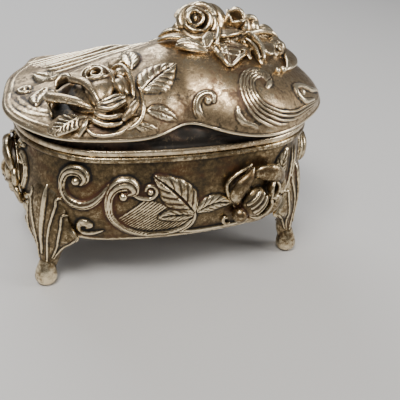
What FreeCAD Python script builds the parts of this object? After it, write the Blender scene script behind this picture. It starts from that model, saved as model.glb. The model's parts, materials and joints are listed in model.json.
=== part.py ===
import FreeCAD, Part
import math
import os

import Sketcher

# Cast-metal jewel casket on four cabriole legs, with a hinged lid in rose relief.
# Millimetres, +Z up, length along X, front towards -Y. The origin is on the table, under the
# middle of the casket.

DIMENSIONS = {
    # Plan of the rim: four gently bowed sides and four round corners.
    "rim_half_length": 62.0,
    "rim_half_depth": 43.7,
    "side_radius": 172.0,
    "corner_radius": 36.4,
    "overall_half_length": 68.5,
    "overall_half_depth": 50.0,
    # Walls: height and outward offset from the rim line at each station of the bombe section.
    "apron_height": 24.5,
    "apron_offset": -3.2,
    "low_wall_height": 32.0,
    "low_wall_offset": -1.0,
    "belly_height": 41.0,
    "belly_offset": 0.3,
    "high_wall_height": 52.0,
    "high_wall_offset": -0.6,
    "wall_top_height": 61.0,
    "wall_top_offset": -1.6,
    "wall_thickness": 2.2,
    # Rim beads that meet at the opening, each side of the joint plane.
    "joint_height": 64.0,
    "joint_gap": 0.3,
    "bead_height": 2.6,
    "bead_offset": 0.9,
    "bead_round": 1.1,
    "bead_inner_offset": -3.4,
    "lid_bead_inner_offset": -2.2,
    # Floor and lining of the well.
    "base_plate_offset": -4.9,
    "base_plate_thickness": 1.0,
    "floor_board_offset": -6.4,
    "board_thickness": 1.0,
    "wall_board_outer_offset": -5.4,
    "wall_board_thickness": 0.8,
    "lining_thickness": 2.8,
    "lining_round": 1.2,
    "lining_top_drop": 2.6,
    "floor_pad_gap": 0.2,
    "floor_pad_thickness": 5.0,
    "pad_round": 2.0,
    "cord_diameter": 2.0,
    "cord_outer_offset": -5.6,
    "cord_round": 0.9,
    # Legs: the foot is a ball, and the leg lies on the corner of the wall above it.
    "foot_spread": 56.2,
    "foot_splay": 27.6,
    "foot_turn": 37.7,
    "foot_ball_radius": 4.7,
    "foot_ball_height": 4.4,
    # Lid: edge, cove below it and the height of the hump.
    "lid_edge_height": 73.0,
    "lid_edge_thickness": 1.0,
    "cove_offset": -2.2,
    "cove_height": 69.0,
    "hump_rise": 23.0,
    "hump_peak_position": 8.0,
    "ridge_shift": -0.16,
    "lid_thickness": 2.4,
    "lid_board_height": 68.4,
    "lid_board_offset": -6.2,
    "lid_pad_thickness": 3.4,
    "lid_pad_offset": -6.6,
    "lid_cord_outer_offset": -4.4,
    # Hinge at the back, with its axis in the joint plane.
    "hinge_axis_depth": 47.2,
    "knuckle_radius": 2.0,
    "pin_radius": 0.8,
    "pin_clearance": 0.05,
    "pin_head_radius": 1.3,
    "pin_head_length": 0.8,
    "hinge_half_width": 13.0,
    "centre_knuckle_half_width": 4.3,
    "knuckle_gap": 0.3,
    "leaf_thickness": 0.8,
    "lower_leaf_drop": 11.0,
    "upper_leaf_rise": 7.5,
    "land_half_width": 14.5,
    "land_root_depth": 41.0,
    "rivet_spacing": 8.5,
    "rivet_radius": 1.2,
    "rivet_rise": 0.5,
}

doc = FreeCAD.newDocument("casket")
sheet = doc.addObject("Spreadsheet::Sheet", "Dimensions")
for row, (alias, value) in enumerate(DIMENSIONS.items(), start=1):
    sheet.set("A%d" % row, alias)
    sheet.set("B%d" % row, str(value))
    sheet.setAlias("B%d" % row, alias)
doc.recompute()

parts = []          # the objects that become nodes


def size(alias):
    return float(sheet.get(alias))


def cell(alias):
    return "Dimensions." + alias


def new_body(label):
    body = doc.addObject("PartDesign::Body", label)
    body.Label = label
    return body


def node(piece, label):
    piece.Label = label
    parts.append(piece)
    return piece


def new_sketch(body, name, role="XY_Plane", height="0"):
    """A sketch on one of the body's own origin planes, moved along its normal by an expression."""
    sketch = body.newObject("Sketcher::SketchObject", name)
    plane = [item for item in body.Origin.OriginFeatures if item.Role == role][0]
    sketch.AttachmentSupport = [(plane, "")]
    sketch.MapMode = "FlatFace"
    sketch.setExpression("AttachmentOffset.Base.z", height)
    return sketch


# --- The oval plan of the casket --------------------------------------------------------------

def oval_centres():
    """Centres of the side arcs, and of the corner arc in the first quadrant."""
    side = size("side_radius")
    side_x = side - size("rim_half_length")
    side_y = side - size("rim_half_depth")
    # The corner centre is as far from both side centres: side radius less corner radius.
    reach = side - size("corner_radius")
    span = math.hypot(side_x, side_y)
    height = math.sqrt(reach ** 2 - (span / 2) ** 2)
    corner_x = -side_x / 2 + height * side_y / span
    corner_y = -side_y / 2 + height * side_x / span
    return side_x, side_y, corner_x, corner_y


def draw_oval(sketch, name, offset):
    """Add the rim's outline, moved outwards by the expression offset, as eight tangent arcs."""
    side_x, side_y, corner_x, corner_y = oval_centres()
    turn_side = math.atan2(corner_y, corner_x + side_x)
    turn_front = math.atan2(corner_x, corner_y + side_y)
    quarter = math.pi / 2
    spans = []          # centre, is it a side, start and end angle, going round from the +X side
    for step in range(4):
        middle = step * quarter
        half = turn_side if step % 2 == 0 else turn_front
        other = turn_front if step % 2 == 0 else turn_side
        reach = side_x if step % 2 == 0 else side_y
        spans.append(((-reach * math.cos(middle), -reach * math.sin(middle)), True,
                      middle - half, middle + half))
        sign_x = 1 if step in (0, 3) else -1
        sign_y = 1 if step in (0, 1) else -1
        spans.append(((sign_x * corner_x, sign_y * corner_y), False,
                      middle + half, middle + quarter - other))
    first = sketch.GeometryCount
    normal = FreeCAD.Vector(0, 0, 1)
    for (x, y), is_side, start, end in spans:
        radius = size("side_radius") if is_side else size("corner_radius")
        circle = Part.Circle(FreeCAD.Vector(x, y, 0), normal, radius)
        sketch.addGeometry(Part.ArcOfCircle(circle, start, end), False)
    for index in range(8):
        sketch.addConstraint(Sketcher.Constraint(
            "Tangent", first + index, 2, first + (index + 1) % 8, 1))
    for index in (2, 4, 6):
        sketch.addConstraint(Sketcher.Constraint("Equal", first, first + index))
        sketch.addConstraint(Sketcher.Constraint("Equal", first + 1, first + index + 1))
    # The sketch's own axes: -1 is X and -2 is Y. Point 3 of an arc is its centre.
    for index, axis in ((0, -1), (4, -1), (2, -2), (6, -2)):
        sketch.addConstraint(Sketcher.Constraint("PointOnObject", first + index, 3, axis))
    centre_x = "%s - %s" % (cell("side_radius"), cell("rim_half_length"))
    centre_y = "%s - %s" % (cell("side_radius"), cell("rim_half_depth"))
    driven = (("right", Sketcher.Constraint("DistanceX", first, 3, -1, 1, side_x), centre_x),
              ("left", Sketcher.Constraint("DistanceX", -1, 1, first + 4, 3, side_x), centre_x),
              ("back", Sketcher.Constraint("DistanceY", first + 2, 3, -1, 1, side_y), centre_y),
              ("front", Sketcher.Constraint("DistanceY", -1, 1, first + 6, 3, side_y), centre_y),
              ("side", Sketcher.Constraint("Radius", first, size("side_radius")),
               "%s + %s" % (cell("side_radius"), offset)),
              ("corner", Sketcher.Constraint("Radius", first + 1, size("corner_radius")),
               "%s + %s" % (cell("corner_radius"), offset)))
    for word, constraint, expression in driven:
        index = sketch.addConstraint(constraint)
        sketch.renameConstraint(index, "%s_%s" % (name, word))
        sketch.setExpression("Constraints.%s_%s" % (name, word), expression)


def oval_loft(body, kind, name, stations):
    """Loft ovals through (height, offset) stations: kind is AdditiveLoft or SubtractiveLoft."""
    sketches = []
    for index, (height, offset) in enumerate(stations):
        sketch = new_sketch(body, "%s_section_%d" % (name, index), height=height)
        draw_oval(sketch, "oval", offset)
        sketches.append(sketch)
    doc.recompute()
    loft = body.newObject("PartDesign::" + kind, name)
    loft.Profile = sketches[0]
    loft.Sections = sketches[1:]
    loft.Ruled = True
    loft.Refine = False
    doc.recompute()
    return loft


def oval_pad(body, name, height, thickness, outer, inner=None):
    """Pad the oval, or the ring between two ovals, upwards from a height."""
    sketch = new_sketch(body, name + "_plan", height=height)
    draw_oval(sketch, "outer", outer)
    if inner is not None:
        draw_oval(sketch, "inner", inner)
    pad = body.newObject("PartDesign::Pad", name)
    pad.Profile = sketch
    pad.setExpression("Length", thickness)
    pad.Refine = False
    doc.recompute()
    return pad


def round_edges(body, base, name, radius, wanted):
    """Fillet the edges of a feature that the function wanted picks."""
    chosen = ["Edge%d" % (index + 1) for index, edge in enumerate(base.Shape.Edges)
              if wanted(edge)]
    fillet = body.newObject("PartDesign::Fillet", name)
    fillet.Base = (base, chosen)
    fillet.setExpression("Radius", radius)
    fillet.Refine = False
    doc.recompute()
    return fillet


def is_level(edge):
    return edge.BoundBox.ZLength < 1e-6


def is_outer_level(edge):
    """A level edge of the rim bead's outer oval."""
    radii = (size("side_radius"), size("corner_radius"))
    return is_level(edge) and any(
        abs(edge.Curve.Radius - radius - size("bead_offset")) < 0.01 for radius in radii)


# --- The body of the casket -------------------------------------------------------------------

WALL_STATIONS = ("apron", "low_wall", "belly", "high_wall", "wall_top")


def wall_sections(inset):
    return [(cell(name + "_height"), "%s - %s" % (cell(name + "_offset"), inset))
            for name in WALL_STATIONS]


def hinge_land(body, name, low, high):
    """A flat cast land on the back, for a hinge leaf, between two heights."""
    sketch = new_sketch(body, name + "_plan", height=low)
    corners = [FreeCAD.Vector(x, y, 0) for x, y in
               ((-14, 41), (14, 41), (14, 45), (-14, 45))]
    for index in range(4):
        sketch.addGeometry(Part.LineSegment(corners[index], corners[(index + 1) % 4]), False)
    for index in range(4):
        sketch.addConstraint(Sketcher.Constraint("Coincident", index, 2, (index + 1) % 4, 1))
    sketch.addConstraint(Sketcher.Constraint("Vertical", 1))
    sketch.addConstraint(Sketcher.Constraint("Horizontal", 2))
    sketch.addConstraint(Sketcher.Constraint("Vertical", 3))
    sketch.addConstraint(Sketcher.Constraint("Symmetric", 0, 1, 0, 2, -2))
    face = "%s - %s" % (cell("hinge_axis_depth"), cell("knuckle_radius"))
    driven = (("width", Sketcher.Constraint("DistanceX", 0, 1, 0, 2, 28),
               "2 * " + cell("land_half_width")),
              ("root", Sketcher.Constraint("DistanceY", -1, 1, 0, 1, 41), cell("land_root_depth")),
              ("face", Sketcher.Constraint("DistanceY", -1, 1, 2, 1, 45), face))
    for word, constraint, expression in driven:
        index = sketch.addConstraint(constraint)
        sketch.renameConstraint(index, word)
        sketch.setExpression("Constraints." + word, expression)
    pad = body.newObject("PartDesign::Pad", name)
    pad.Profile = sketch
    pad.setExpression("Length", "%s - (%s)" % (high, low))
    pad.Refine = False
    doc.recompute()


JOINT_LOW = "%s - %s / 2" % (cell("joint_height"), cell("joint_gap"))
JOINT_HIGH = "%s + %s / 2" % (cell("joint_height"), cell("joint_gap"))


def make_rim(name, low, inner):
    """The round-edged bead round the opening, from the height low upwards."""
    body = new_body(name)
    bead = oval_pad(body, "bead", low, cell("bead_height"), cell("bead_offset"), inner)
    round_edges(body, bead, "bead_edges", cell("bead_round"), is_outer_level)
    return body


def make_body_shell():
    """The four walls in one bombe casting, with the rim bead and the land for the hinge."""
    walls = new_body("walls")
    oval_loft(walls, "AdditiveLoft", "outside", wall_sections("0"))
    hinge_land(walls, "land", cell("high_wall_height"),
               "%s - %s / 2" % (JOINT_LOW, cell("bead_height")))
    oval_loft(walls, "SubtractiveLoft", "well", wall_sections(cell("wall_thickness")))
    rim = make_rim("body_rim", "%s - %s" % (JOINT_LOW, cell("bead_height")),
                   cell("bead_inner_offset"))
    shell = doc.addObject("Part::MultiFuse", "body_shell")
    shell.Shapes = [walls, rim]
    doc.recompute()
    return node(shell, "body_shell")


# Leg stations: height, outward lean of the middle, half thickness, half width.
LEG_STATIONS = (
    (8.4, -0.2, 2.4, 2.6),
    (13.0, -1.0, 2.9, 3.2),
    (19.0, -2.0, 3.4, 5.0),
    (25.0, -2.4, 4.0, 7.6),
    (32.0, -2.2, 3.7, 9.0),
    (39.0, -2.2, 2.8, 8.0),
    (45.5, -2.4, 1.4, 4.5),
)


def make_leg(label, turn, x_sign, y_sign):
    """A cabriole leg on a ball foot. Its own +X points out of the corner that it stands under."""
    body = new_body(label)
    sketches = []
    for index, (height, lean, thick, wide) in enumerate(LEG_STATIONS):
        sketch = new_sketch(body, "section_%d" % index, height=str(height))
        major = FreeCAD.Vector(lean, wide, 0)
        minor = FreeCAD.Vector(lean + thick, 0, 0)
        if thick > wide:
            major, minor = minor, major
        sketch.addGeometry(Part.Ellipse(major, minor, FreeCAD.Vector(lean, 0, 0)), False)
        sketches.append(sketch)
    doc.recompute()
    loft = body.newObject("PartDesign::AdditiveLoft", "knee_and_ankle")
    loft.Profile = sketches[0]
    loft.Sections = sketches[1:]
    doc.recompute()
    # The ball is cut flat at the table, so the casket rests on four small flats.
    ball = new_sketch(body, "ball_section", role="XZ_Plane")
    radius = size("foot_ball_radius")
    height = size("foot_ball_height")
    dip = math.asin(height / radius)
    flat = radius * math.cos(dip)
    centre = FreeCAD.Vector(0, height, 0)
    circle = Part.Circle(centre, FreeCAD.Vector(0, 0, 1), radius)
    top = FreeCAD.Vector(0, height + radius, 0)
    ball.addGeometry(Part.ArcOfCircle(circle, -dip, math.pi / 2), False)
    ball.addGeometry(Part.LineSegment(top, FreeCAD.Vector(0, 0, 0)), False)
    ball.addGeometry(Part.LineSegment(FreeCAD.Vector(0, 0, 0), FreeCAD.Vector(flat, 0, 0)), False)
    ball.addConstraint(Sketcher.Constraint("Coincident", 0, 2, 1, 1))
    ball.addConstraint(Sketcher.Constraint("Coincident", 1, 2, -1, 1))
    ball.addConstraint(Sketcher.Constraint("Coincident", 2, 1, 1, 2))
    ball.addConstraint(Sketcher.Constraint("Coincident", 2, 2, 0, 1))
    ball.addConstraint(Sketcher.Constraint("PointOnObject", 0, 3, -2))
    ball.addConstraint(Sketcher.Constraint("Vertical", 1))
    ball.addConstraint(Sketcher.Constraint("Horizontal", 2))
    for word, constraint in (
            ("ball_radius", Sketcher.Constraint("Radius", 0, radius)),
            ("ball_height", Sketcher.Constraint("DistanceY", -1, 1, 0, 3, height))):
        index = ball.addConstraint(constraint)
        ball.renameConstraint(index, word)
        ball.setExpression("Constraints." + word, cell("foot_" + word))
    turned = body.newObject("PartDesign::Revolution", "ball")
    turned.Profile = ball
    turned.ReferenceAxis = (ball, ["V_Axis"])
    turned.Angle = 360
    doc.recompute()
    place = FreeCAD.Vector(x_sign * size("foot_spread"), y_sign * size("foot_splay"), 0)
    body.Placement = FreeCAD.Placement(place, FreeCAD.Rotation(FreeCAD.Vector(0, 0, 1), turn))
    return node(body, label)


def dome(name, outward, across, upright, sink):
    """Half an ellipsoid whose flat side is sunk in the surface that it stands on.

    The half axes are bound to the sheet or are plain expressions; its own +Z points outwards.
    """
    solid = doc.addObject("Part::Ellipsoid", name)
    solid.setExpression("Radius1", "%s + %s" % (outward, sink))
    solid.setExpression("Radius2", across)
    solid.setExpression("Radius3", upright)
    solid.Angle1 = 0
    solid.Angle2 = 90
    return solid


def make_bud(label, along, height, face_turn, reach):
    """A rosebud with its leaf, in high relief on a wall.

    face_turn is the direction that the wall faces, in degrees from +X. along is the place along
    the wall, to the right as its viewer stands. reach is how far the bud's top is from the axis
    of the casket, as an expression.
    """
    facing_y = abs(math.sin(math.radians(face_turn))) > 0.5
    half = size("rim_half_depth") if facing_y else size("rim_half_length")
    side = size("side_radius")
    # The wall is an arc, so the bud turns with it and sits back from the wall's crown.
    slope = math.asin(along / side)
    depth = half - side * (1 - math.cos(slope))
    sink = 1.2
    core = dome(label + "_core", "(%s - %.3f) / %.4f" % (reach, depth, math.cos(slope)),
                "9.5", "11.5", str(sink))
    leaf = dome(label + "_leaf", "2.6", "6.0", "8.5", str(sink))
    knob = dome(label + "_stem", "2.2", "3.0", "3.0", str(sink))
    upright = FreeCAD.Rotation(FreeCAD.Vector(0, 1, 0), FreeCAD.Vector(0, 0, 1),
                               FreeCAD.Vector(1, 0, 0), "ZXY")
    for piece, right, up, tilt in ((core, 0.0, 0.0, -35.0), (leaf, 12.5, 11.0, -40.0),
                                   (knob, -8.5, -7.5, 0.0)):
        roll = FreeCAD.Rotation(FreeCAD.Vector(0, 0, 1), tilt)
        piece.Placement = FreeCAD.Placement(FreeCAD.Vector(-sink, right, up), upright * roll)
    bud = doc.addObject("Part::MultiFuse", label)
    bud.Shapes = [core, leaf, knob]
    doc.recompute()
    turn = math.radians(face_turn)
    out = FreeCAD.Vector(math.cos(turn), math.sin(turn), 0)
    right = FreeCAD.Vector(-math.sin(turn), math.cos(turn), 0)
    place = out * depth + right * along + FreeCAD.Vector(0, 0, height)
    spin = FreeCAD.Rotation(FreeCAD.Vector(0, 0, 1), face_turn + math.degrees(slope))
    bud.Placement = FreeCAD.Placement(place, spin)
    return node(bud, label)


def make_oval_plate(label, height, thickness, outer, inner=None, round_by=None):
    """A flat piece cut to the casket's plan, or a ring of it, with its level edges rounded."""
    body = new_body(label)
    pad = oval_pad(body, "plate", height, thickness, outer, inner)
    if round_by is not None:
        round_edges(body, pad, "soft_edges", round_by, is_level)
    return node(body, label)


def make_floor_and_lining():
    plate_top = "%s + 2 * %s" % (cell("apron_height"), cell("base_plate_thickness"))
    plate_low = "%s + %s" % (cell("apron_height"), cell("base_plate_thickness"))
    board_top = "%s + %s" % (plate_top, cell("board_thickness"))
    lining_outer = "%s - %s" % (cell("wall_board_outer_offset"), cell("wall_board_thickness"))
    lining_inner = "%s - %s" % (lining_outer, cell("lining_thickness"))
    lining_top = "%s - %s" % (cell("joint_height"), cell("lining_top_drop"))
    make_oval_plate("base_plate", plate_low, cell("base_plate_thickness"),
                    cell("base_plate_offset"))
    make_oval_plate("floor_board", plate_top, cell("board_thickness"),
                    cell("floor_board_offset"))
    make_oval_plate("floor_pad", board_top, cell("floor_pad_thickness"),
                    "%s - %s" % (lining_inner, cell("floor_pad_gap")), round_by=cell("pad_round"))
    make_oval_plate("wall_board", board_top, "%s - (%s)" % (lining_top, board_top),
                    cell("wall_board_outer_offset"), lining_outer)
    make_oval_plate("wall_lining", board_top, "%s - (%s)" % (lining_top, board_top),
                    lining_outer, lining_inner, cell("lining_round"))
    make_oval_plate("body_trim_cord", lining_top, cell("cord_diameter"),
                    cell("cord_outer_offset"),
                    "%s - %s" % (cell("cord_outer_offset"), cell("cord_diameter")),
                    cell("cord_round"))


# --- The lid ----------------------------------------------------------------------------------

# The lid's edge is the casket's plan drawn out or pulled in by smooth waves: the direction of
# each wave in degrees from +X, how far it moves the edge and its width in degrees. The first is
# the waist at the front, the next two are the lobes beside it.
EDGE_WAVES = ((-91.0, -8.2, 15.0), (-58.0, 5.2, 18.0), (-141.0, 2.4, 12.0),
              (172.0, -3.6, 18.0), (138.0, 6.5, 8.0))
EDGE_HALF_DEPTH = 47.0
EDGE_POWER = 2.4
SECTION_POINTS = 36


def edge_radius(angle):
    """Distance of the lid's edge from the middle of the casket, in one direction."""
    across = abs(math.cos(angle)) / size("overall_half_length")
    deep = abs(math.sin(angle)) / EDGE_HALF_DEPTH
    radius = (across ** EDGE_POWER + deep ** EDGE_POWER) ** (-1 / EDGE_POWER)
    for direction, move, width in EDGE_WAVES:
        turn = math.remainder(math.degrees(angle) - direction, 360)
        radius += move * math.exp(-(turn / width) ** 2)
    return radius


def smooth(value):
    value = min(max(value, 0.0), 1.0)
    return value * value * (3 - 2 * value)


def ridge_rise(x):
    """Height of the hump's ridge over the edge, along the length of the lid."""
    ahead = x - size("hump_peak_position")
    if ahead > 0:
        return size("hump_rise") * max(1 - (ahead / 62.0) ** 2.7, 0.0)
    return size("hump_rise") * (0.5 + 0.5 * math.cos(math.pi * max(ahead / 80, -1))) ** 0.85


def lid_height(x, y):
    """Height of the lid's outside: steep at the front, and falling to a low lobe back left."""
    share = math.hypot(x, y) / edge_radius(math.atan2(y, x))
    inside = (1 - share ** 2) / max(1 - (x / 72.0) ** 2, 0.02)
    across = math.copysign(math.sqrt(1 - min(max(inside, 0.0), 1.0)), y)
    ridge = size("ridge_shift")
    lean_left = smooth((25 - x) / 45)
    if across < ridge:
        profile = (1 - ((ridge - across) / (1 + ridge)) ** 2.1) ** 0.62
    else:
        run = (across - ridge) / (1 - ridge)
        falling = (0.5 + 0.5 * math.cos(math.pi * run ** 0.85)) ** 1.2
        profile = (1 - run ** 2) ** 0.8 * (1 - lean_left) + falling * lean_left
    return size("lid_edge_height") + ridge_rise(x) * profile


def closed_curve(points):
    curve = Part.BSplineCurve()
    curve.interpolate(points, PeriodicFlag=True)
    return Part.Wire([curve.toShape()])


def ray_section(height, reach):
    """A level closed curve whose distance from the hump's centre, by direction, is reach."""
    points = []
    for step in range(SECTION_POINTS):
        angle = 2 * math.pi * step / SECTION_POINTS
        distance = reach(angle)
        points.append(FreeCAD.Vector(HUMP_CENTRE[0] + distance * math.cos(angle),
                                     HUMP_CENTRE[1] + distance * math.sin(angle), height))
    return closed_curve(points)


def find_reach(angle, centre, is_inside):
    """The furthest that a ray from the centre goes while it is inside, by halving."""
    near, far = 0.0, 90.0
    for _ in range(40):
        middle = (near + far) / 2
        if is_inside(centre[0] + middle * math.cos(angle), centre[1] + middle * math.sin(angle)):
            near = middle
        else:
            far = middle
    return near


def in_oval(x, y, offset):
    """Whether a point is inside the rim's outline, moved outwards by an offset."""
    side_x, side_y, corner_x, corner_y = oval_centres()
    x, y = abs(x), abs(y)
    side = size("side_radius") + offset
    corner = size("corner_radius") + offset
    if math.hypot(x + side_x, y) > side or math.hypot(x, y + side_y) > side:
        return False
    beyond_side = y * (corner_x + side_x) > corner_y * (x + side_x)
    beyond_front = x * (corner_y + side_y) > corner_x * (y + side_y)
    if beyond_side and beyond_front:
        return math.hypot(x - corner_x, y - corner_y) <= corner
    return True


HUMP_CENTRE = (6.0, -5.0)
HUMP_LEVELS = (0.35, 3.0, 7.0, 11.0, 15.0, 18.5, 21.0)


def lid_form(inset, low, drop):
    """The lid's form, shrunk by an inset and lowered by a drop: a loft of level curves."""
    edge = size("lid_edge_height")
    edge_low = edge - size("lid_edge_thickness")
    cove = size("cove_height")
    foot = size("bead_offset") + size("cove_offset")
    skirt_top = min(edge_low, edge + HUMP_LEVELS[0] - drop)
    flare = (skirt_top - cove) / (edge_low - cove)

    def oval_reach(angle):
        return find_reach(angle, HUMP_CENTRE, lambda x, y: in_oval(x, y, foot))

    def level_reach(angle, height):
        def inside(x, y):
            return (math.hypot(x, y) < edge_radius(math.atan2(y, x))
                    and lid_height(x, y) > height)
        return find_reach(angle, HUMP_CENTRE, inside)

    def skirt_reach(angle):
        return (1 - flare) * oval_reach(angle) + flare * level_reach(angle, edge) - inset

    sections = [ray_section(low, lambda angle: oval_reach(angle) - inset),
                ray_section(cove, lambda angle: oval_reach(angle) - inset),
                ray_section(skirt_top, skirt_reach)]
    for rise in HUMP_LEVELS[1:]:
        level = edge + rise
        sections.append(ray_section(level - drop, lambda angle: level_reach(angle, level) - inset))
    return Part.makeLoft(sections, True, True)


def make_lid_shell():
    """The domed casting, hollow below, with its bead and the land for the hinge."""
    rim = make_rim("lid_rim", JOINT_HIGH, cell("lid_bead_inner_offset"))
    land = new_body("lid_land")
    hinge_land(land, "land", "%s + %s / 2" % (JOINT_HIGH, cell("bead_height")),
               "%s + %s" % (cell("joint_height"), cell("upper_leaf_rise")))
    bead_top = size("joint_height") + size("joint_gap") / 2 + size("bead_height")
    outside = doc.addObject("Part::Feature", "lid_outside")
    outside.Shape = lid_form(0.0, bead_top - 0.6, 0.0)
    whole = doc.addObject("Part::MultiFuse", "lid_whole")
    whole.Shapes = [outside, rim, land]
    thick = size("lid_thickness")
    hollow = doc.addObject("Part::Feature", "lid_hollow")
    hollow.Shape = lid_form(thick, size("joint_height"), thick)
    shell = doc.addObject("Part::Cut", "lid_shell")
    shell.Base = whole
    shell.Tool = hollow
    doc.recompute()
    return node(shell, "lid_shell")


def make_rose(label, x, y, radius, height, tilt, petals):
    """A rose on the lid: a bud in a ring of petals, leaning by tilt degrees towards the front."""
    pieces = [dome(label + "_bud", str(height), str(0.5 * radius), str(0.5 * radius), "2")]
    for index in range(petals):
        angle = 2 * math.pi * index / petals
        petal = dome("%s_petal_%d" % (label, index), str(0.72 * height), str(0.34 * radius),
                     str(0.46 * radius), "2")
        middle = FreeCAD.Vector(0.52 * radius * math.cos(angle), 0.52 * radius * math.sin(angle), 0)
        petal.Placement = FreeCAD.Placement(
            middle, FreeCAD.Rotation(FreeCAD.Vector(0, 0, 1), math.degrees(angle)))
        pieces.append(petal)
    rose = doc.addObject("Part::MultiFuse", label)
    rose.Shapes = pieces
    doc.recompute()
    place = FreeCAD.Vector(x, y, lid_height(x, y) - 1)
    rose.Placement = FreeCAD.Placement(place, FreeCAD.Rotation(FreeCAD.Vector(1, 0, 0), tilt))
    return node(rose, label)


# The flowers and leaves along the ridge: place along and across the lid, radius, and rise.
SPRAY = ((27.0, 1.0, 5.0, 10.0), (34.5, -2.0, 6.0, 6.5), (41.0, -7.0, 6.5, 6.0),
         (44.5, -15.0, 7.5, 6.5), (35.0, -14.0, 6.5, 4.0), (25.0, -12.0, 6.5, 4.0),
         (17.0, -21.0, 7.0, 3.0), (50.0, -18.0, 5.0, 3.5), (4.0, -8.0, 6.5, 3.0))


def make_spray(label):
    """Smaller flowers, buds and leaves beside the crest rose."""
    pieces = []
    for index, (x, y, radius, rise) in enumerate(SPRAY):
        flower = dome("%s_%d" % (label, index), str(rise), str(radius), str(radius), "2")
        flower.Placement.Base = FreeCAD.Vector(x, y, lid_height(x, y) - 2)
        pieces.append(flower)
    spray = doc.addObject("Part::MultiFuse", label)
    spray.Shapes = pieces
    doc.recompute()
    return node(spray, label)


def make_lid_lining():
    board_low = cell("lid_board_height")
    pad_low = "%s - %s" % (board_low, cell("lid_pad_thickness"))
    make_oval_plate("lid_board", board_low, cell("board_thickness"), cell("lid_board_offset"))
    make_oval_plate("lid_pad", pad_low, cell("lid_pad_thickness"), cell("lid_pad_offset"),
                    round_by="1.5")
    make_oval_plate("lid_trim_cord", pad_low, cell("cord_diameter"),
                    cell("lid_cord_outer_offset"),
                    "%s - %s" % (cell("lid_cord_outer_offset"), cell("cord_diameter")),
                    cell("cord_round"))


# --- The hinge --------------------------------------------------------------------------------

def bar(name, radius, start, length):
    """A round bar along X on the hinge axis, from start, with its sizes as expressions."""
    solid = doc.addObject("Part::Cylinder", name)
    solid.setExpression("Radius", radius)
    solid.setExpression("Height", length)
    solid.Placement.Rotation = FreeCAD.Rotation(FreeCAD.Vector(0, 1, 0), 90)
    solid.setExpression("Placement.Base.x", start)
    solid.setExpression("Placement.Base.y", cell("hinge_axis_depth"))
    solid.setExpression("Placement.Base.z", cell("joint_height"))
    return solid


def plate(name, start, width, low, rise):
    """A hinge leaf's plate against the lands, from start along X and from low upwards."""
    solid = doc.addObject("Part::Box", name)
    solid.setExpression("Length", width)
    solid.setExpression("Width", cell("leaf_thickness"))
    solid.setExpression("Height", rise)
    solid.setExpression("Placement.Base.x", start)
    solid.setExpression("Placement.Base.y",
                        "%s - %s" % (cell("hinge_axis_depth"), cell("knuckle_radius")))
    solid.setExpression("Placement.Base.z", low)
    return solid


def make_leaf(label, pieces):
    """Join a leaf's plates and knuckles, and bore them for the pin."""
    joined = doc.addObject("Part::MultiFuse", label + "_joined")
    joined.Shapes = pieces
    bore = bar(label + "_bore", "%s + %s" % (cell("pin_radius"), cell("pin_clearance")),
               "-2 * " + cell("hinge_half_width"), "4 * " + cell("hinge_half_width"))
    leaf = doc.addObject("Part::Cut", label)
    leaf.Base = joined
    leaf.Tool = bore
    doc.recompute()
    return node(leaf, label)


def make_rivets(label, height):
    """Two round rivet heads that hold a leaf on its land."""
    heads = []
    for side in (-1, 1):
        head = dome("%s_head_%d" % (label, side), cell("rivet_rise"), cell("rivet_radius"),
                    cell("rivet_radius"), "0")
        head.Placement.Rotation = FreeCAD.Rotation(FreeCAD.Vector(1, 0, 0), -90)
        head.setExpression("Placement.Base.x", "%d * %s" % (side, cell("rivet_spacing")))
        head.setExpression("Placement.Base.y", "%s - %s + %s" % (
            cell("hinge_axis_depth"), cell("knuckle_radius"), cell("leaf_thickness")))
        head.setExpression("Placement.Base.z", height)
        heads.append(head)
    rivets = doc.addObject("Part::Compound", label)
    rivets.Links = heads
    doc.recompute()
    return node(rivets, label)


def make_hinge():
    half = cell("hinge_half_width")
    centre = cell("centre_knuckle_half_width")
    gap = cell("knuckle_gap")
    axis = cell("joint_height")
    outer_start = "%s + %s" % (centre, gap)
    outer_length = "%s - %s - %s" % (half, centre, gap)
    clear = "%s + %s" % (cell("knuckle_radius"), gap)
    drop = cell("lower_leaf_drop")
    rise = cell("upper_leaf_rise")
    # The lower leaf: one plate, and a strap at each end that runs up to its knuckle.
    lower = [plate("lower_plate", "-" + half, "2 * " + half, "%s - %s" % (axis, drop),
                   "%s - (%s)" % (drop, clear))]
    for name, start in (("left", "-" + half), ("right", outer_start)):
        lower.append(bar("lower_knuckle_" + name, cell("knuckle_radius"), start, outer_length))
        lower.append(plate("lower_strap_" + name, start, outer_length,
                           "%s - %s" % (axis, drop), drop))
    make_leaf("hinge_lower_leaf", lower)
    # The upper leaf: one plate, with a strap in the middle that runs down to its knuckle.
    upper = [plate("upper_plate", "-" + half, "2 * " + half, "%s + %s" % (axis, clear),
                   "%s - (%s)" % (rise, clear)),
             plate("upper_strap", "-" + centre, "2 * " + centre, axis, rise),
             bar("upper_knuckle", cell("knuckle_radius"), "-" + centre, "2 * " + centre)]
    make_leaf("hinge_upper_leaf", upper)
    make_rivets("hinge_rivets_lower", "%s - %s * 0.68" % (axis, drop))
    make_rivets("hinge_rivets_upper", "%s + %s * 0.68" % (axis, rise))
    # The pin has a low head at each end.
    shank = bar("pin_shank", cell("pin_radius"), "-" + half, "2 * " + half)
    heads = [bar("pin_head_" + name, cell("pin_head_radius"), start, cell("pin_head_length"))
             for name, start in (("left", "-%s - %s" % (half, cell("pin_head_length"))),
                                 ("right", half))]
    pin = doc.addObject("Part::MultiFuse", "hinge_pin")
    pin.Shapes = [shank] + heads
    doc.recompute()
    node(pin, "hinge_pin")


# --- The whole casket -------------------------------------------------------------------------

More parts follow.
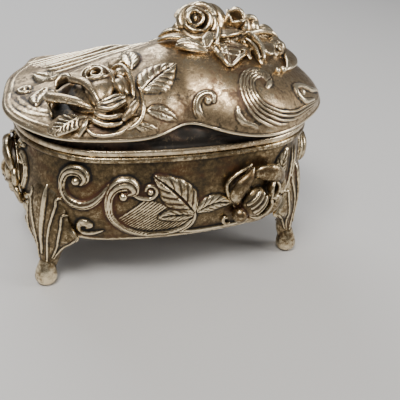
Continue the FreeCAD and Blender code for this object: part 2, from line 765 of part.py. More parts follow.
make_body_shell()
corner_turn = size("foot_turn")
make_leg("leg_front_left", 180 + corner_turn, -1, -1)
make_leg("leg_front_right", -corner_turn, 1, -1)
make_leg("leg_rear_left", 180 - corner_turn, -1, 1)
make_leg("leg_rear_right", corner_turn, 1, 1)
make_bud("bud_front", 30.0, 42.0, -90.0, cell("overall_half_depth"))
make_bud("bud_back", 30.0, 42.0, 90.0, cell("overall_half_depth"))
make_bud("bud_left", 0.0, 40.0, 180.0, cell("overall_half_length"))
make_bud("bud_right", 0.0, 40.0, 0.0, cell("overall_half_length"))
make_floor_and_lining()
make_lid_shell()
make_rose("lid_rose_left", -34.5, -23.0, 17.0, 8.0, 22.0, 6)
make_rose("lid_rose_crest", 14.5, 2.0, 11.5, 13.0, 12.0, 6)
make_spray("lid_crest_spray")
make_lid_lining()
make_hinge()

doc.recompute()
for item in doc.Objects:
    if "Invalid" in item.State or "Error" in item.State:
        raise RuntimeError("failed: %s %s" % (item.Label, item.State))
os.makedirs("parts", exist_ok=True)
for part in parts:
    if part.Shape.isNull() or not part.Shape.isValid():
        raise RuntimeError("bad shape: " + part.Label)
    part.Shape.exportStep("parts/%s.step" % part.Label)
    print("%-20s %9.1f mm3  %d solid(s)" % (part.Label, part.Shape.Volume, len(part.Shape.Solids)))
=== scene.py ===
import json
import math

import bmesh
import bpy
import numpy as np
from mathutils import Matrix, Vector

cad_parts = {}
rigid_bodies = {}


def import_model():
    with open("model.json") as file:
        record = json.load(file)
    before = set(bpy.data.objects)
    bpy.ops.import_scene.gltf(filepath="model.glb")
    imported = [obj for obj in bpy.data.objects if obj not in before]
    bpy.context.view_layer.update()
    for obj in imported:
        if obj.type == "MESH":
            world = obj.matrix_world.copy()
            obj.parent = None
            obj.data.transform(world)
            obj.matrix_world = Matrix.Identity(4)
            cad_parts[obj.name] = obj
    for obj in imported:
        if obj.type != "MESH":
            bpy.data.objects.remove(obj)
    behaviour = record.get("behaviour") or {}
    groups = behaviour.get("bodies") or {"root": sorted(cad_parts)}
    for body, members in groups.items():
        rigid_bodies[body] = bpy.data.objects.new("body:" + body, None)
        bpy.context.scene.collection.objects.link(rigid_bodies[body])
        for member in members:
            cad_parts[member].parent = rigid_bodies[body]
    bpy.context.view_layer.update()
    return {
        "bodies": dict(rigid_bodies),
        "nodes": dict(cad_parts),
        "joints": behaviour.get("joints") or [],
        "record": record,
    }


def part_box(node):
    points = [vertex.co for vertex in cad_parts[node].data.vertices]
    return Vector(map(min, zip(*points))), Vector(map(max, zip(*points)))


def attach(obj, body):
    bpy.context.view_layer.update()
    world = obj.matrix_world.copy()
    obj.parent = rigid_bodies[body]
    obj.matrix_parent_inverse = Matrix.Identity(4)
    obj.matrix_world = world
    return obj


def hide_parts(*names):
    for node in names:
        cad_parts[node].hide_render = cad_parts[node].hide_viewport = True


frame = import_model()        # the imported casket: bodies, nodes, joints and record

# Looks of a cast-metal jewel casket: roses and scrolls in relief, worn plate over dark metal
# with painted shade in its recesses, and a padded silk lining. Lengths below are millimetres,
# turned to metres as meshes are made.
MM = 0.001
TAU = 2 * math.pi

# The oval plan: four gently bowed sides and four round corners, the same as the CAD walls.
SIDE_RADIUS = 172.0
CORNER_RADIUS = 36.4
BEAD_OFFSET = 0.9
rim_low, rim_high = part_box("body_shell")
RIM_X = rim_high[0] / MM - BEAD_OFFSET
RIM_Y = -rim_low[1] / MM - BEAD_OFFSET


# --- Plain helpers ----------------------------------------------------------------------------

def smooth(value):
    value = np.clip(value, 0, 1)
    return value * value * (3 - 2 * value)


def curve_through(points, count):
    """A smooth curve through points, as count rows; columns past the place are carried too."""
    points = np.asarray(points, float)
    padded = np.vstack([2 * points[0] - points[1], points, 2 * points[-1] - points[-2]])
    spans = len(points) - 1
    place = np.linspace(0, spans, count)
    index = np.minimum(place.astype(int), spans - 1)
    t = (place - index)[:, None]
    a, b, c, d = (padded[index + step] for step in range(4))
    return 0.5 * (2 * b + (c - a) * t + (2 * a - 5 * b + 4 * c - d) * t ** 2
                  + (3 * b - a - 3 * c + d) * t ** 3)


def unit(rows):
    return rows / np.maximum(np.linalg.norm(rows, axis=-1, keepdims=True), 1e-9)


def ring_faces(rows, columns, first=0, closed=False):
    """Quads between rings of points. closed joins the last ring to the first."""
    faces = []
    for row in range(rows if closed else rows - 1):
        low, high = first + row * columns, first + (row + 1) % rows * columns
        for column in range(columns):
            after = (column + 1) % columns
            faces.append((low + column, low + after, high + after, high + column))
    return faces


def make_mesh(name, points, faces, solid=True):
    """A mesh object from points in millimetres. A solid is smooth and its faces look outwards."""
    mesh = bpy.data.meshes.new(name)
    mesh.from_pydata((np.asarray(points) * MM).tolist(), [], faces)
    mesh.validate()
    item = bpy.data.objects.new(name, mesh)
    bpy.context.scene.collection.objects.link(item)
    if solid:
        mesh.shade_smooth()
        face_outwards(item)
    return item


def make_tube(name, rings):
    """A closed mesh from rings of points, the last joined to the first."""
    rings = np.asarray(rings)
    return make_mesh(name, rings.reshape(-1, 3), ring_faces(*rings.shape[:2], closed=True))


def face_outwards(item):
    """Turn every face of a closed mesh outwards."""
    work = bmesh.new()
    work.from_mesh(item.data)
    bmesh.ops.recalc_face_normals(work, faces=work.faces)
    work.to_mesh(item.data)
    work.free()


def mesh_points(item):
    """The object's points in millimetres."""
    flat = np.empty(len(item.data.vertices) * 3)
    item.data.vertices.foreach_get("co", flat)
    return flat.reshape(-1, 3) / MM


def move_points(item, points):
    item.data.vertices.foreach_set("co", (points * MM).ravel())
    item.data.update()


def mesh_normals(item):
    flat = np.empty(len(item.data.vertices) * 3, np.float32)
    item.data.vertex_normals.foreach_get("vector", flat)
    return flat.reshape(-1, 3).astype(float)


def bake(item):
    """Put the result of the modifiers into the mesh."""
    graph = bpy.context.evaluated_depsgraph_get()
    mesh = bpy.data.meshes.new_from_object(item.evaluated_get(graph))
    item.modifiers.clear()
    item.data = mesh


def apply_modifier(item, kind, **settings):
    modifier = item.modifiers.new(kind.lower(), kind)
    for name, value in settings.items():
        setattr(modifier, name, value)
    bake(item)


# How far a point stands out is measured twice: (rounds of averaging, gain).
WEAR_AND_SHADE_SCALES = ((3, 9.0), (14, 3.0))


def mark_wear_and_shade(item, shade):
    """Store how far each point stands out of its surroundings: ridges high, recesses low.

    The mean place of the surroundings is found by repeated averaging along the edges. The
    metal's colour and gloss follow the result, which shade may change with the place. A high
    result gives rubbed plate and painted highlight on the ridges; a low result gives tarnish and
    painted shade in the recesses.
    """
    mesh = item.data
    points, normals = mesh_points(item), mesh_normals(item)
    edges = np.empty(len(mesh.edges) * 2, int)
    mesh.edges.foreach_get("vertices", edges)
    a, b = edges.reshape(-1, 2).T
    size = len(points)
    count = np.maximum(np.bincount(np.concatenate([a, b]), minlength=size), 1)[:, None]
    spread = points.copy()
    wear_and_shade = np.zeros(size)
    done = 0
    for rounds, gain in WEAR_AND_SHADE_SCALES:
        for _ in range(rounds - done):
            total = np.stack([np.bincount(a, spread[b, axis], size)
                              + np.bincount(b, spread[a, axis], size) for axis in range(3)], 1)
            spread = 0.5 * spread + 0.5 * total / count
        done = rounds
        wear_and_shade += gain * np.einsum("ij,ij->i", points - spread, normals)
    wear_and_shade = shade(points, 0.5 + 0.5 * np.tanh(wear_and_shade))
    # The stored value stands for rubbed plate and painted highlight on ridges, and for tarnish and
    # painted shade in recesses.
    layer = mesh.attributes.new("wear_and_shade", "FLOAT", "POINT")
    layer.data.foreach_set("value", wear_and_shade.astype(np.float32))


# --- The plan and the walls -------------------------------------------------------------------

def plan_arcs():
    """The outline's arcs, round from the middle of the front: centre, radius, angle, length."""
    side_x, side_y = SIDE_RADIUS - RIM_X, SIDE_RADIUS - RIM_Y
    span = math.hypot(side_x, side_y)
    height = math.sqrt((SIDE_RADIUS - CORNER_RADIUS) ** 2 - (span / 2) ** 2)
    corner_x = -side_x / 2 + height * side_y / span
    corner_y = -side_y / 2 + height * side_x / span
    turn_side = math.atan2(corner_y, corner_x + side_x)
    turn_front = math.atan2(corner_x, corner_y + side_y)
    corner = math.pi / 2 - turn_side - turn_front
    arcs = []
    angle = -math.pi / 2
    for centre, radius, turn in (
            ((0, side_y), SIDE_RADIUS, turn_front),
            ((corner_x, -corner_y), CORNER_RADIUS, corner),
            ((-side_x, 0), SIDE_RADIUS, 2 * turn_side),
            ((corner_x, corner_y), CORNER_RADIUS, corner),
            ((0, -side_y), SIDE_RADIUS, 2 * turn_front),
            ((-corner_x, corner_y), CORNER_RADIUS, corner),
            ((side_x, 0), SIDE_RADIUS, 2 * turn_side),
            ((-corner_x, -corner_y), CORNER_RADIUS, corner),
            ((0, side_y), SIDE_RADIUS, turn_front)):
        arcs.append((centre, radius, angle, radius * turn))
        angle += turn
    return arcs


ARCS = plan_arcs()
ARC_STARTS = np.concatenate([[0], np.cumsum([arc[3] for arc in ARCS])])
PERIMETER = ARC_STARTS[-1]
END_RUN = PERIMETER / 4                           # run to the middle of the right end


def plan(run, offset):
    """Place and outward normal on the outline moved outwards, at a run from the front's middle."""
    run = np.mod(np.asarray(run, float), PERIMETER)
    index = np.clip(np.searchsorted(ARC_STARTS, run, side="right") - 1, 0, len(ARCS) - 1)
    centre = np.array([arc[0] for arc in ARCS])[index]
    radius = np.array([arc[1] for arc in ARCS])[index]
    angle = np.array([arc[2] for arc in ARCS])[index] + (run - ARC_STARTS[index]) / radius
    normal = np.stack([np.cos(angle), np.sin(angle)], -1)
    return centre + normal * (radius + offset)[..., None], normal


WALL_Z = (13.0, 18.0, 24.5, 32.0, 41.0, 52.0, 61.0)
WALL_OFFSET = (-3.6, -3.6, -3.2, -1.0, 0.3, -0.6, -1.6)


def wall_offset(z):
    """Outward offset of the bombe wall from the rim line."""
    fine = np.linspace(WALL_Z[0], WALL_Z[-1], 200)
    rough = np.interp(fine, WALL_Z, WALL_OFFSET)
    for _ in range(60):
        rough[1:-1] = (rough[:-2] + 2 * rough[1:-1] + rough[2:]) / 4
    return np.interp(z, fine, rough)


def on_wall(run, z, lift=0.0):
    """Points on the wall, raised by lift, and their outward normals."""
    place, normal = plan(run, wall_offset(z) + lift)
    z = np.broadcast_to(z, place.shape[:-1])
    flat = np.zeros(normal.shape[:-1] + (1,))
    return np.concatenate([place, z[..., None]], -1), np.concatenate([normal, flat], -1)


# --- Relief -----------------------------------------------------------------------------------

def round_form(across, along):
    return np.sqrt(np.clip(1 - across ** 2, 0, 1))


def ribbon_form(across, along):
    """A rounded ribbon with two fine grooves along it."""
    body = np.clip(1 - np.abs(across) ** 2.6, 0, 1) ** 0.6
    return body - 0.26 * np.exp(-((np.abs(across) - 0.42) / 0.13) ** 2) * body


def fluted_form(across, along):
    """Parallel ridges that get narrower with the stroke and fade at its start."""
    body = np.clip(1 - across ** 4, 0, 1) ** 0.5
    flutes = 0.45 * smooth(along * 6)
    return body * (1 - flutes + flutes * np.cos(TAU * 2.5 * across))


LEAF_VEINS = 6


def leaf_lobe(across, along):
    """Rounded lobes between side veins that slant towards the tip."""
    return np.abs(np.cos(np.pi * (LEAF_VEINS * along - 1.9 * across))) ** 0.45


def leaf_form(across, along):
    """A leaf with a sunk midrib, and lobes parted by narrow veins."""
    reach = np.abs(across)
    body = np.sqrt(np.clip(1 - reach ** 4, 0, 1))
    rise = 0.52 + 0.24 * np.sin(np.pi * reach ** 0.75)
    lobes = 0.34 * leaf_lobe(reach, along) * smooth(reach * 5)
    return body * (rise + lobes) - 0.36 * np.exp(-(reach / 0.07) ** 2)


def leaf_widths(count, widest, fullness=0.40):
    """Half widths of a pointed leaf from its stem to its tip, scalloped by its lobes."""
    along = np.linspace(0, 1, count)
    stem = np.sin(np.pi / 2 * np.clip(along / fullness, 0, 1)) ** 0.62
    tip = np.cos(np.pi / 2 * np.clip((along - fullness) / (1 - fullness), 0, 1)).clip(0) ** 0.78
    outline = np.where(along < fullness, stem, tip)
    return widest * outline * (0.94 + 0.08 * leaf_lobe(1, along)) + 0.12


class Relief:
    """Heights over a cloud of surface points, built up from strokes, leaves and balls."""

    def __init__(self, points, normals):
        self.points = points
        self.normals = normals
        self.height = np.zeros(len(points))

    def near(self, centres, reach):
        low, high = centres.min(0) - reach, centres.max(0) + reach
        return np.nonzero(((self.points > low) & (self.points < high)).all(1))[0]

    def stroke(self, centres, half_widths, heights, form=round_form, add=0.0):
        """Raise a band along a line of centres. add keeps that share of what lies below."""
        chosen = self.near(centres, half_widths.max() * 1.1 + 0.2)
        if not len(chosen):
            return
        tangents = unit(np.gradient(centres, axis=0))
        for part in np.array_split(chosen, max(len(chosen) // 4000, 1)):
            gap = self.points[part][:, None] - centres[None]
            distance = np.einsum("ijk,ijk->ij", gap, gap)
            index = distance.argmin(1)
            row = np.arange(len(part))
            gap = gap[row, index]
            tangent = tangents[index]
            side = np.cross(self.normals[part], tangent)
            lateral = np.einsum("ij,ij->i", gap, side)
            beyond = np.where((index == 0) | (index == len(centres) - 1),
                              np.abs(np.einsum("ij,ij->i", gap, tangent)), 0)
            width = half_widths[index]
            across = np.copysign(np.hypot(lateral, beyond), lateral) / width
            inside = np.abs(across) < 1
            share = form(np.clip(across, -1, 1), index / (len(centres) - 1)) * heights[index]
            now = self.height[part]
            raised = np.maximum(now, share + add * now)
            self.height[part] = np.where(inside, raised, now)

    def ball(self, centre, radius, height):
        chosen = self.near(centre[None], radius)
        distance = np.linalg.norm(self.points[chosen] - centre, axis=1) / radius
        share = height * np.sqrt(np.clip(1 - distance ** 2, 0, 1))
        self.height[chosen] = np.maximum(self.height[chosen], share)


def lay(lift_to, points, count=140):
    """A curve through (u, v, half width) points, laid on a surface: centres and half widths."""
    line = curve_through(points, count)
    return lift_to(line[:, 0], line[:, 1]), np.maximum(line[:, 2], 0.15)


def add_stroke(relief, lift_to, points, height, form=round_form, add=0.0, count=140):
    centres, widths = lay(lift_to, points, count)
    taper = np.clip(widths / widths.max(), 0, 1) ** 0.6
    relief.stroke(centres, widths, height * taper, form, add)


def add_leaf(relief, lift_to, points, widest, height, add=0.0, fullness=0.42):
    """A leaf whose midrib runs through (u, v) points from stem to tip."""
    line = curve_through(points, 120)
    centres = lift_to(line[:, 0], line[:, 1])
    relief.stroke(centres, leaf_widths(120, widest, fullness),
                  height * np.ones(120), leaf_form, add)


def add_ball(relief, lift_to, u, v, radius, height):
    relief.ball(lift_to(np.array([u]), np.array([v]))[0], radius, height)


# --- The body's wall: a bombe band with scrolls, leaves and a hatched field -------------------

def run_at(x, z):
    """Run along the front at which the wall has that x, at a height."""
    runs = np.linspace(-END_RUN, END_RUN, 1201)
    place, normal = plan(runs, 0.0)
    rim_x = np.asarray(x, float)
    for _ in range(3):
        run = np.interp(rim_x, place[:, 0], runs)
        rim_x = x - wall_offset(z) * np.interp(run, runs, normal[:, 0])
    return run


def front_wall(x, z):
    x, z = np.broadcast_arrays(np.asarray(x, float), np.asarray(z, float))
    return on_wall(run_at(x, z), z)[0]


def back_wall(x, z):
    """The same place turned half round the box."""
    return front_wall(x, z) * np.array([-1, -1, 1])


def end_wall(side):
    """Places on an end wall, by run from its middle and height."""
    def place(u, z):
        return on_wall(side * END_RUN + np.asarray(u, float), np.asarray(z, float))[0]
    return place


# Centre lines on the long walls as (x, z, half width), seen from the front.
LEFT_SCROLL = ((-41.6, 51.4, 0.8), (-40.1, 54.0, 2.0), (-41.3, 56.6, 2.5), (-44.0, 57.0, 2.4),
               (-46.4, 55.2, 1.9), (-47.8, 51.8, 1.6), (-48.0, 48.2, 1.6), (-47.0, 45.2, 1.7),
               (-44.8, 43.2, 1.9), (-42.0, 42.5, 1.9), (-39.0, 43.3, 1.8), (-36.2, 45.4, 1.5),
               (-33.6, 48.6, 1.1), (-31.8, 51.6, 0.6))
MAIN_SCROLL = ((-24.9, 47.6, 1.0), (-22.6, 49.6, 2.7), (-24.6, 52.2, 3.1), (-28.4, 51.6, 2.8),
               (-31.2, 48.2, 2.0), (-32.0, 43.0, 1.6), (-31.0, 38.0, 1.5), (-28.0, 33.6, 1.5),
               (-23.0, 29.8, 1.6), (-15.6, 27.4, 1.5), (-7.4, 27.6, 1.4), (-1.2, 29.8, 1.1),
               (2.0, 33.8, 0.6))
FOOT_CURL = ((-39.8, 31.2, 0.6), (-39.0, 33.0, 1.7), (-41.0, 34.0, 2.0), (-42.7, 32.2, 1.3),
             (-42.4, 29.7, 1.0), (-40.6, 28.2, 1.1), (-37.4, 28.6, 1.0), (-33.8, 30.2, 0.4))
MIDDLE_CURL = ((-22.4, 47.4, 0.6), (-20.2, 46.2, 0.9), (-18.0, 45.6, 0.8), (-15.8, 45.6, 0.8),
               (-13.9, 47.2, 0.9), (-13.6, 49.4, 0.9), (-15.2, 51.0, 0.8), (-17.2, 50.6, 0.7),
               (-17.8, 49.0, 0.5))
WALL_LEAVES = (
    (((2.3, 37.6), (-2.5, 43.6), (-8.0, 49.4), (-14.6, 55.3)), 6.3),
    (((2.0, 36.2), (-3.0, 37.0), (-8.0, 37.2), (-12.8, 36.4)), 3.7),
    (((3.2, 37.8), (8.0, 40.2), (13.0, 41.0), (18.8, 39.8)), 4.0))
STEM = ((2.4, 37.6, 0.8), (2.8, 34.0, 0.8), (1.4, 30.6, 0.9), (-1.4, 28.0, 0.9))


def carve_long_wall(relief, wall):
    """The relief of a long wall, from its scrolls to its bunch of leaves."""
    for step in range(19):
        x = -31.5 + 1.75 * step
        add_stroke(relief, wall, ((x - 6, 28.5, 0.45), (x, 33.5, 0.5), (x + 7, 39.2, 0.5),
                                  (x + 14, 45, 0.45)), 0.38, count=60)
    field = relief.points
    x, z = field[:, 0] * np.sign(wall(0, 40)[1]) * -1, field[:, 2]
    left = np.interp(z, (29, 34, 40, 46, 49), (-24, -29, -31, -30.5, -27))
    top = np.interp(x, (-31, -22, -14, -8, -2), (47, 47.5, 44, 41, 37))
    hatched = (x > left) & (x < 2) & (z < top) & (z > 28)
    same_side = field[:, 1] * wall(0, 40)[1] > 0
    relief.height[~(hatched & same_side)] = 0
    for line, height in ((LEFT_SCROLL, 2.1), (MAIN_SCROLL, 2.3), (FOOT_CURL, 1.5),
                         (MIDDLE_CURL, 1.1)):
        add_stroke(relief, wall, line, height, ribbon_form if height > 2 else round_form)
    for u, v, radius, height in ((-43.2, 52.6, 1.8, 2.2), (-26.4, 47.0, 1.8, 2.2),
                                 (-16.0, 48.4, 1.3, 1.7)):
        add_ball(relief, wall, u, v, radius, height)
    add_stroke(relief, wall, STEM, 1.1)
    for midrib, widest in WALL_LEAVES:
        add_leaf(relief, wall, midrib, widest, 1.35)
    add_stroke(relief, wall, ((-27, 50.5, 1.6), (-24.5, 50.3, 1.2), (-21, 49, 0.9)), 1.6)
    add_stroke(relief, wall, ((-2, 27.2, 0.8), (5, 26.4, 1.0), (15, 26.4, 1.0), (27, 26.6, 0.8)),
               1.0)
    add_leaf(relief, wall, ((42.2, 46.4), (41.6, 49.8), (42.0, 53.6), (44.2, 58.6)), 4.0, 1.4)
    for shift in (0, 2.1):
        add_stroke(relief, wall, ((48.6 + shift, 56, 0.4), (49.2 + shift, 50, 0.8),
                                  (48.4 + shift, 42, 0.8), (46.6 + shift, 34, 0.5)), 0.9)


def carve_end_wall(relief, wall):
    """The relief of an end: two scrolls that rise from the feet to leaves beside the bud."""
    for side in (-1, 1):
        scroll = [(side * u, z, w) for u, z, w in (
            (9.5, 50.5, 0.8), (11.0, 53.0, 1.6), (14.0, 53.4, 1.8), (16.6, 50.4, 1.5),
            (16.6, 45.5, 1.4), (14.2, 40.6, 1.5), (10.6, 37.0, 1.5), (7.6, 32.6, 1.3),
            (7.4, 28.6, 0.8))]
        add_stroke(relief, wall, scroll, 1.8, ribbon_form)
        add_ball(relief, wall, side * 12.4, 50.2, 1.4, 1.8)
        add_leaf(relief, wall, ((side * 9, 34), (side * 13, 33), (side * 17, 35),
                                (side * 20.5, 39.5)), 3.0, 1.3)
        add_leaf(relief, wall, ((side * 5, 52.5), (side * 7.5, 55), (side * 11.5, 57.4),
                                (side * 16, 58.2)), 2.2, 1.2)
    add_stroke(relief, wall, ((-12, 26.6, 0.7), (-5, 26.2, 1.0), (5, 26.2, 1.0), (12, 26.6, 0.7)),
               0.9)


WALL_LOW, BEAD_LOW = 24.5, 61.2
# The rim bead and the top of the wall, as (offset, height).
BODY_RIM = ((-0.5, 61.25), (0.25, 61.35), (0.65, 61.65), (0.86, 62.1), (0.9, 62.55), (0.86, 63.0),
            (0.65, 63.45), (0.25, 63.75), (-0.5, 63.85), (-3.3, 63.85), (-3.9, 63.3), (-3.9, 61.2))
OUTER_RIM_RINGS = 9
WALL_THICKNESS = 2.2
# The flat land behind the hinge: half its width, its foot and its face.
LAND_HALF, LAND_LOW = 14.5, 52.5
LAND_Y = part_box("hinge_lower_leaf")[0][1] / MM


def ring(runs, offset, z):
    place = plan(runs, offset)[0]
    return np.concatenate([place, np.full((len(runs), 1), z)], 1)


def make_body_shell():
    columns, rows = 830, 84
    runs = np.arange(columns) * PERIMETER / columns
    levels = np.linspace(WALL_LOW, BEAD_LOW, rows)
    points, normals = (np.array(part).reshape(-1, 3)
                       for part in zip(*(on_wall(runs, z) for z in levels)))
    relief = Relief(points, normals)
    carve_long_wall(relief, front_wall)
    front_height = relief.height
    relief.height = np.zeros(len(points))
    carve_long_wall(relief, back_wall)
    near_land = (points[:, 1] > LAND_Y - 14) & (np.abs(points[:, 0]) < LAND_HALF + 2)
    relief.height[near_land & (points[:, 2] > LAND_LOW - 2)] = 0
    relief.height = np.maximum(relief.height, front_height)
    for side in (-1, 1):
        carve_end_wall(relief, end_wall(side))
    fade = smooth((points[:, 2] - WALL_LOW) / 0.8) * smooth((BEAD_LOW - points[:, 2]) / 0.8)
    points = points + normals * (relief.height * fade)[:, None]
    rings = list(points.reshape(rows, columns, 3))
    rings += [ring(runs, offset, z) for offset, z in BODY_RIM]
    rings += [ring(runs, wall_offset(z) - WALL_THICKNESS, z) for z in (52, 41, 32, WALL_LOW)]
    points = np.array(rings)
    on_land = (points[..., 1] > 0) & (np.abs(points[..., 0]) < LAND_HALF)
    outer = np.arange(len(rings)) < rows + OUTER_RIM_RINGS
    on_land &= outer[:, None] & (points[..., 2] > LAND_LOW)
    points[on_land, 1] = np.maximum(points[on_land, 1], LAND_Y - 0.02)
    return make_tube("body_casting", points)


# --- The lid: a swept hump over a waved edge --------------------------------------------------

EDGE_Z = 73.0
EDGE_POWER = 2.4
EDGE_X, EDGE_Y = 68.5, 47.0
# Waves of the lid's edge: direction in degrees, outward move, width in degrees.
EDGE_WAVES = ((-91, -8.2, 15), (-58, 5.2, 18), (-141, 2.4, 12), (172, -3.6, 18), (138, 6.5, 8))


def edge_radius(turn):
    """Distance of the lid's edge from its middle, in a direction."""
    radius = ((np.abs(np.cos(turn)) / EDGE_X) ** EDGE_POWER
              + (np.abs(np.sin(turn)) / EDGE_Y) ** EDGE_POWER) ** (-1 / EDGE_POWER)
    for middle, move, width in EDGE_WAVES:
        away = (np.degrees(turn) - middle + 180) % 360 - 180
        radius = radius + move * np.exp(-(away / width) ** 2)
    return radius


def hump_ridge(x, peak=23.0, place=8.0):
    """Height of the hump's crest over the edge: blunt on the right, a long tail on the left."""
    right = peak * (1 - np.clip((x - place) / 62, 0, 1) ** 2.9)
    left = peak * (0.5 + 0.5 * np.cos(np.pi * np.clip((place - x) / 80, 0, 1))) ** 0.85
    return np.where(x > place, right, left)


def lid_height(x, y):
    """Height of the lid's smooth surface."""
    turn = np.arctan2(y, x)
    reach = np.hypot(x, y) / edge_radius(turn)
    middle = np.abs(x) / edge_radius(np.where(np.asarray(x) > 0, 0.0, np.pi))
    to_edge = np.clip((1 - reach ** 2) / np.maximum(1 - middle ** 2, 0.02), 0, 1)
    across = np.sign(y) * np.sqrt(1 - to_edge)
    crest = -0.16
    left = smooth((25 - x) / 45)
    down_front = np.clip((crest - across) / (1 + crest), 0, 1)
    down_back = np.clip((across - crest) / (1 - crest), 0, 1)
    front = (1 - down_front ** 2.1) ** 0.62
    back_right = (1 - down_back ** 2) ** 0.8
    back_left = (0.5 + 0.5 * np.cos(np.pi * down_back ** 0.85)) ** 1.2
    share = np.where(across < crest, front, back_right * (1 - left) + back_left * left)
    waist = 2.2 * np.exp(-((np.degrees(turn) + 90) / 18) ** 2) * reach ** 4
    step = 4 * left * smooth(down_back / 0.45) * (1 - reach ** 4) * smooth((y - 5) / 15)
    return EDGE_Z + waist + hump_ridge(x) * share + step


def on_lid(x, y):
    x, y = np.broadcast_arrays(np.asarray(x, float), np.asarray(y, float))
    return np.stack([x, y, lid_height(x, y)], -1)


def lid_normal(x, y, reach=0.8):
    """Outward normal of the lid's smooth surface."""
    slope_x = (lid_height(x + reach, y) - lid_height(x - reach, y)) / (2 * reach)
    slope_y = (lid_height(x, y + reach) - lid_height(x, y - reach)) / (2 * reach)
    return unit(np.stack(np.broadcast_arrays(-slope_x, -slope_y, 1.0), -1))


# Lines on the lid as (x, y, half width).
WAVE_SCROLL = ((29.6, -38.4, 0.7), (31.4, -36.0, 1.5), (30.8, -33.2, 2.2), (27.4, -32.4, 2.7),
               (23.0, -34.8, 3.0), (21.0, -38.8, 3.2), (21.4, -42.8, 3.6), (24.0, -45.9, 4.0),
               (28.4, -47.2, 4.2), (34.0, -46.8, 4.2), (41.4, -43.4, 3.8), (50.0, -36.8, 2.8),
               (58.0, -29.4, 1.8), (63.6, -21.6, 0.8))
SMALL_SCROLL = ((7.8, -39.8, 0.6), (7.7, -38.0, 1.1), (5.5, -36.7, 1.4), (3.1, -36.6, 1.6),
                (1.9, -37.8, 1.7), (2.7, -39.6, 1.7), (4.8, -41.6, 1.6), (8.0, -44.6, 1.5),
                (11.2, -48.4, 1.3), (15.6, -50.2, 0.6))
STRAND = ((15.9, -44.0, 0.5), (15.8, -45.6, 1.1), (17.8, -47.5, 1.3), (22.4, -48.9, 0.8))
END_CURL = ((56.0, -30.0, 0.6), (49.2, -35.0, 1.2), (45.2, -35.4, 1.3), (44.8, -32.6, 1.3),
            (49.2, -29.8, 1.2), (55.0, -27.4, 1.2), (61.6, -22.0, 0.6))
LEFT_CURL = ((-55.2, -1.6, 0.6), (-55.4, 1.0, 0.9), (-57.8, 1.8, 1.0), (-59.6, -0.4, 0.9),
             (-58.6, -3.2, 0.8), (-55.6, -4.4, 0.6))
LID_LEAVES = (
    (((-18.2, -34.0), (-13.6, -30.4), (-9.0, -27.6), (-3.0, -23.8)), 6.4, 1.5),
    (((-17.9, -40.3), (-13.8, -40.6), (-9.8, -40.9), (-5.4, -40.2)), 2.6, 1.0),
    (((-22.9, -43.2), (-19.7, -44.0), (-16.7, -44.4), (-13.0, -44.2)), 1.9, 0.8),
    (((-19.0, -20.8), (-18.2, -15.5), (-18.1, -10.0), (-19.0, -3.4)), 3.7, 1.1),
    (((-44.6, -1.0), (-46.6, 4.0), (-49.2, 9.0), (-52.4, 13.0)), 4.4, 1.2),
    (((-48.8, -8.0), (-51.8, -10.4), (-53.8, -14.4), (-54.4, -20.0)), 3.8, 1.2))


def carve_lid(relief):
    """The relief cast into the lid itself."""
    add_stroke(relief, on_lid, WAVE_SCROLL, 1.5, fluted_form, count=260)
    add_stroke(relief, on_lid, SMALL_SCROLL, 1.3, ribbon_form, count=200)
    add_stroke(relief, on_lid, STRAND, 0.9, ribbon_form)
    add_stroke(relief, on_lid, END_CURL, 1.3, round_form)
    add_stroke(relief, on_lid, LEFT_CURL, 1.1, round_form)
    add_ball(relief, on_lid, 6.0, -38.6, 1.5, 1.8)
    add_ball(relief, on_lid, 48.6, -32.4, 1.5, 1.2)
    add_ball(relief, on_lid, -57.2, -0.8, 1.1, 1.2)
    for midrib, widest, height in LID_LEAVES:
        add_leaf(relief, on_lid, midrib, widest, height)
    # Long flutes on the low lobe behind, side by side, fading towards the hump.
    for step in range(8):
        y = 31.6 - 3.5 * step
        add_stroke(relief, on_lid, ((-53.5 + 1.2 * step, y + 3.5, 0.5), (-43, y + 1.5, 1.2),
                                    (-31, y, 1.2), (-18, y - 0.5, 0.9), (-6, y - 2.5, 0.4)), 0.75)
    for shift in (0, 3.0):
        add_stroke(relief, on_lid, ((-63.4 + shift, -5, 0.5), (-61.4 + shift, -14, 1.2),
                                    (-57.0 + shift, -22.5, 1.3), (-51.6 + shift, -28.5, 0.5)),
                   0.28)
    # The mirror scrolls on the right half behind the crest.
    behind = [(x * 0.94, 8 - y * 0.82, w) for x, y, w in WAVE_SCROLL]
    add_stroke(relief, on_lid, behind, 1.4, fluted_form, count=260)
    add_leaf(relief, on_lid, ((2, 30), (6, 33), (11, 35), (17, 35.5)), 3.6, 1.2)
    add_leaf(relief, on_lid, ((-4, 28), (-9, 31), (-14, 32), (-20, 31.5)), 3.2, 1.1)
    # A raised line inside the edge of the low lobe.
    turns = np.radians(np.linspace(112, 234, 200))
    radius = edge_radius(turns) - 2.4
    widths = 0.9 * np.sin(np.linspace(0.05, np.pi - 0.05, 200)) ** 0.5
    relief.stroke(on_lid(radius * np.cos(turns), radius * np.sin(turns)), widths, 0.3 * widths)


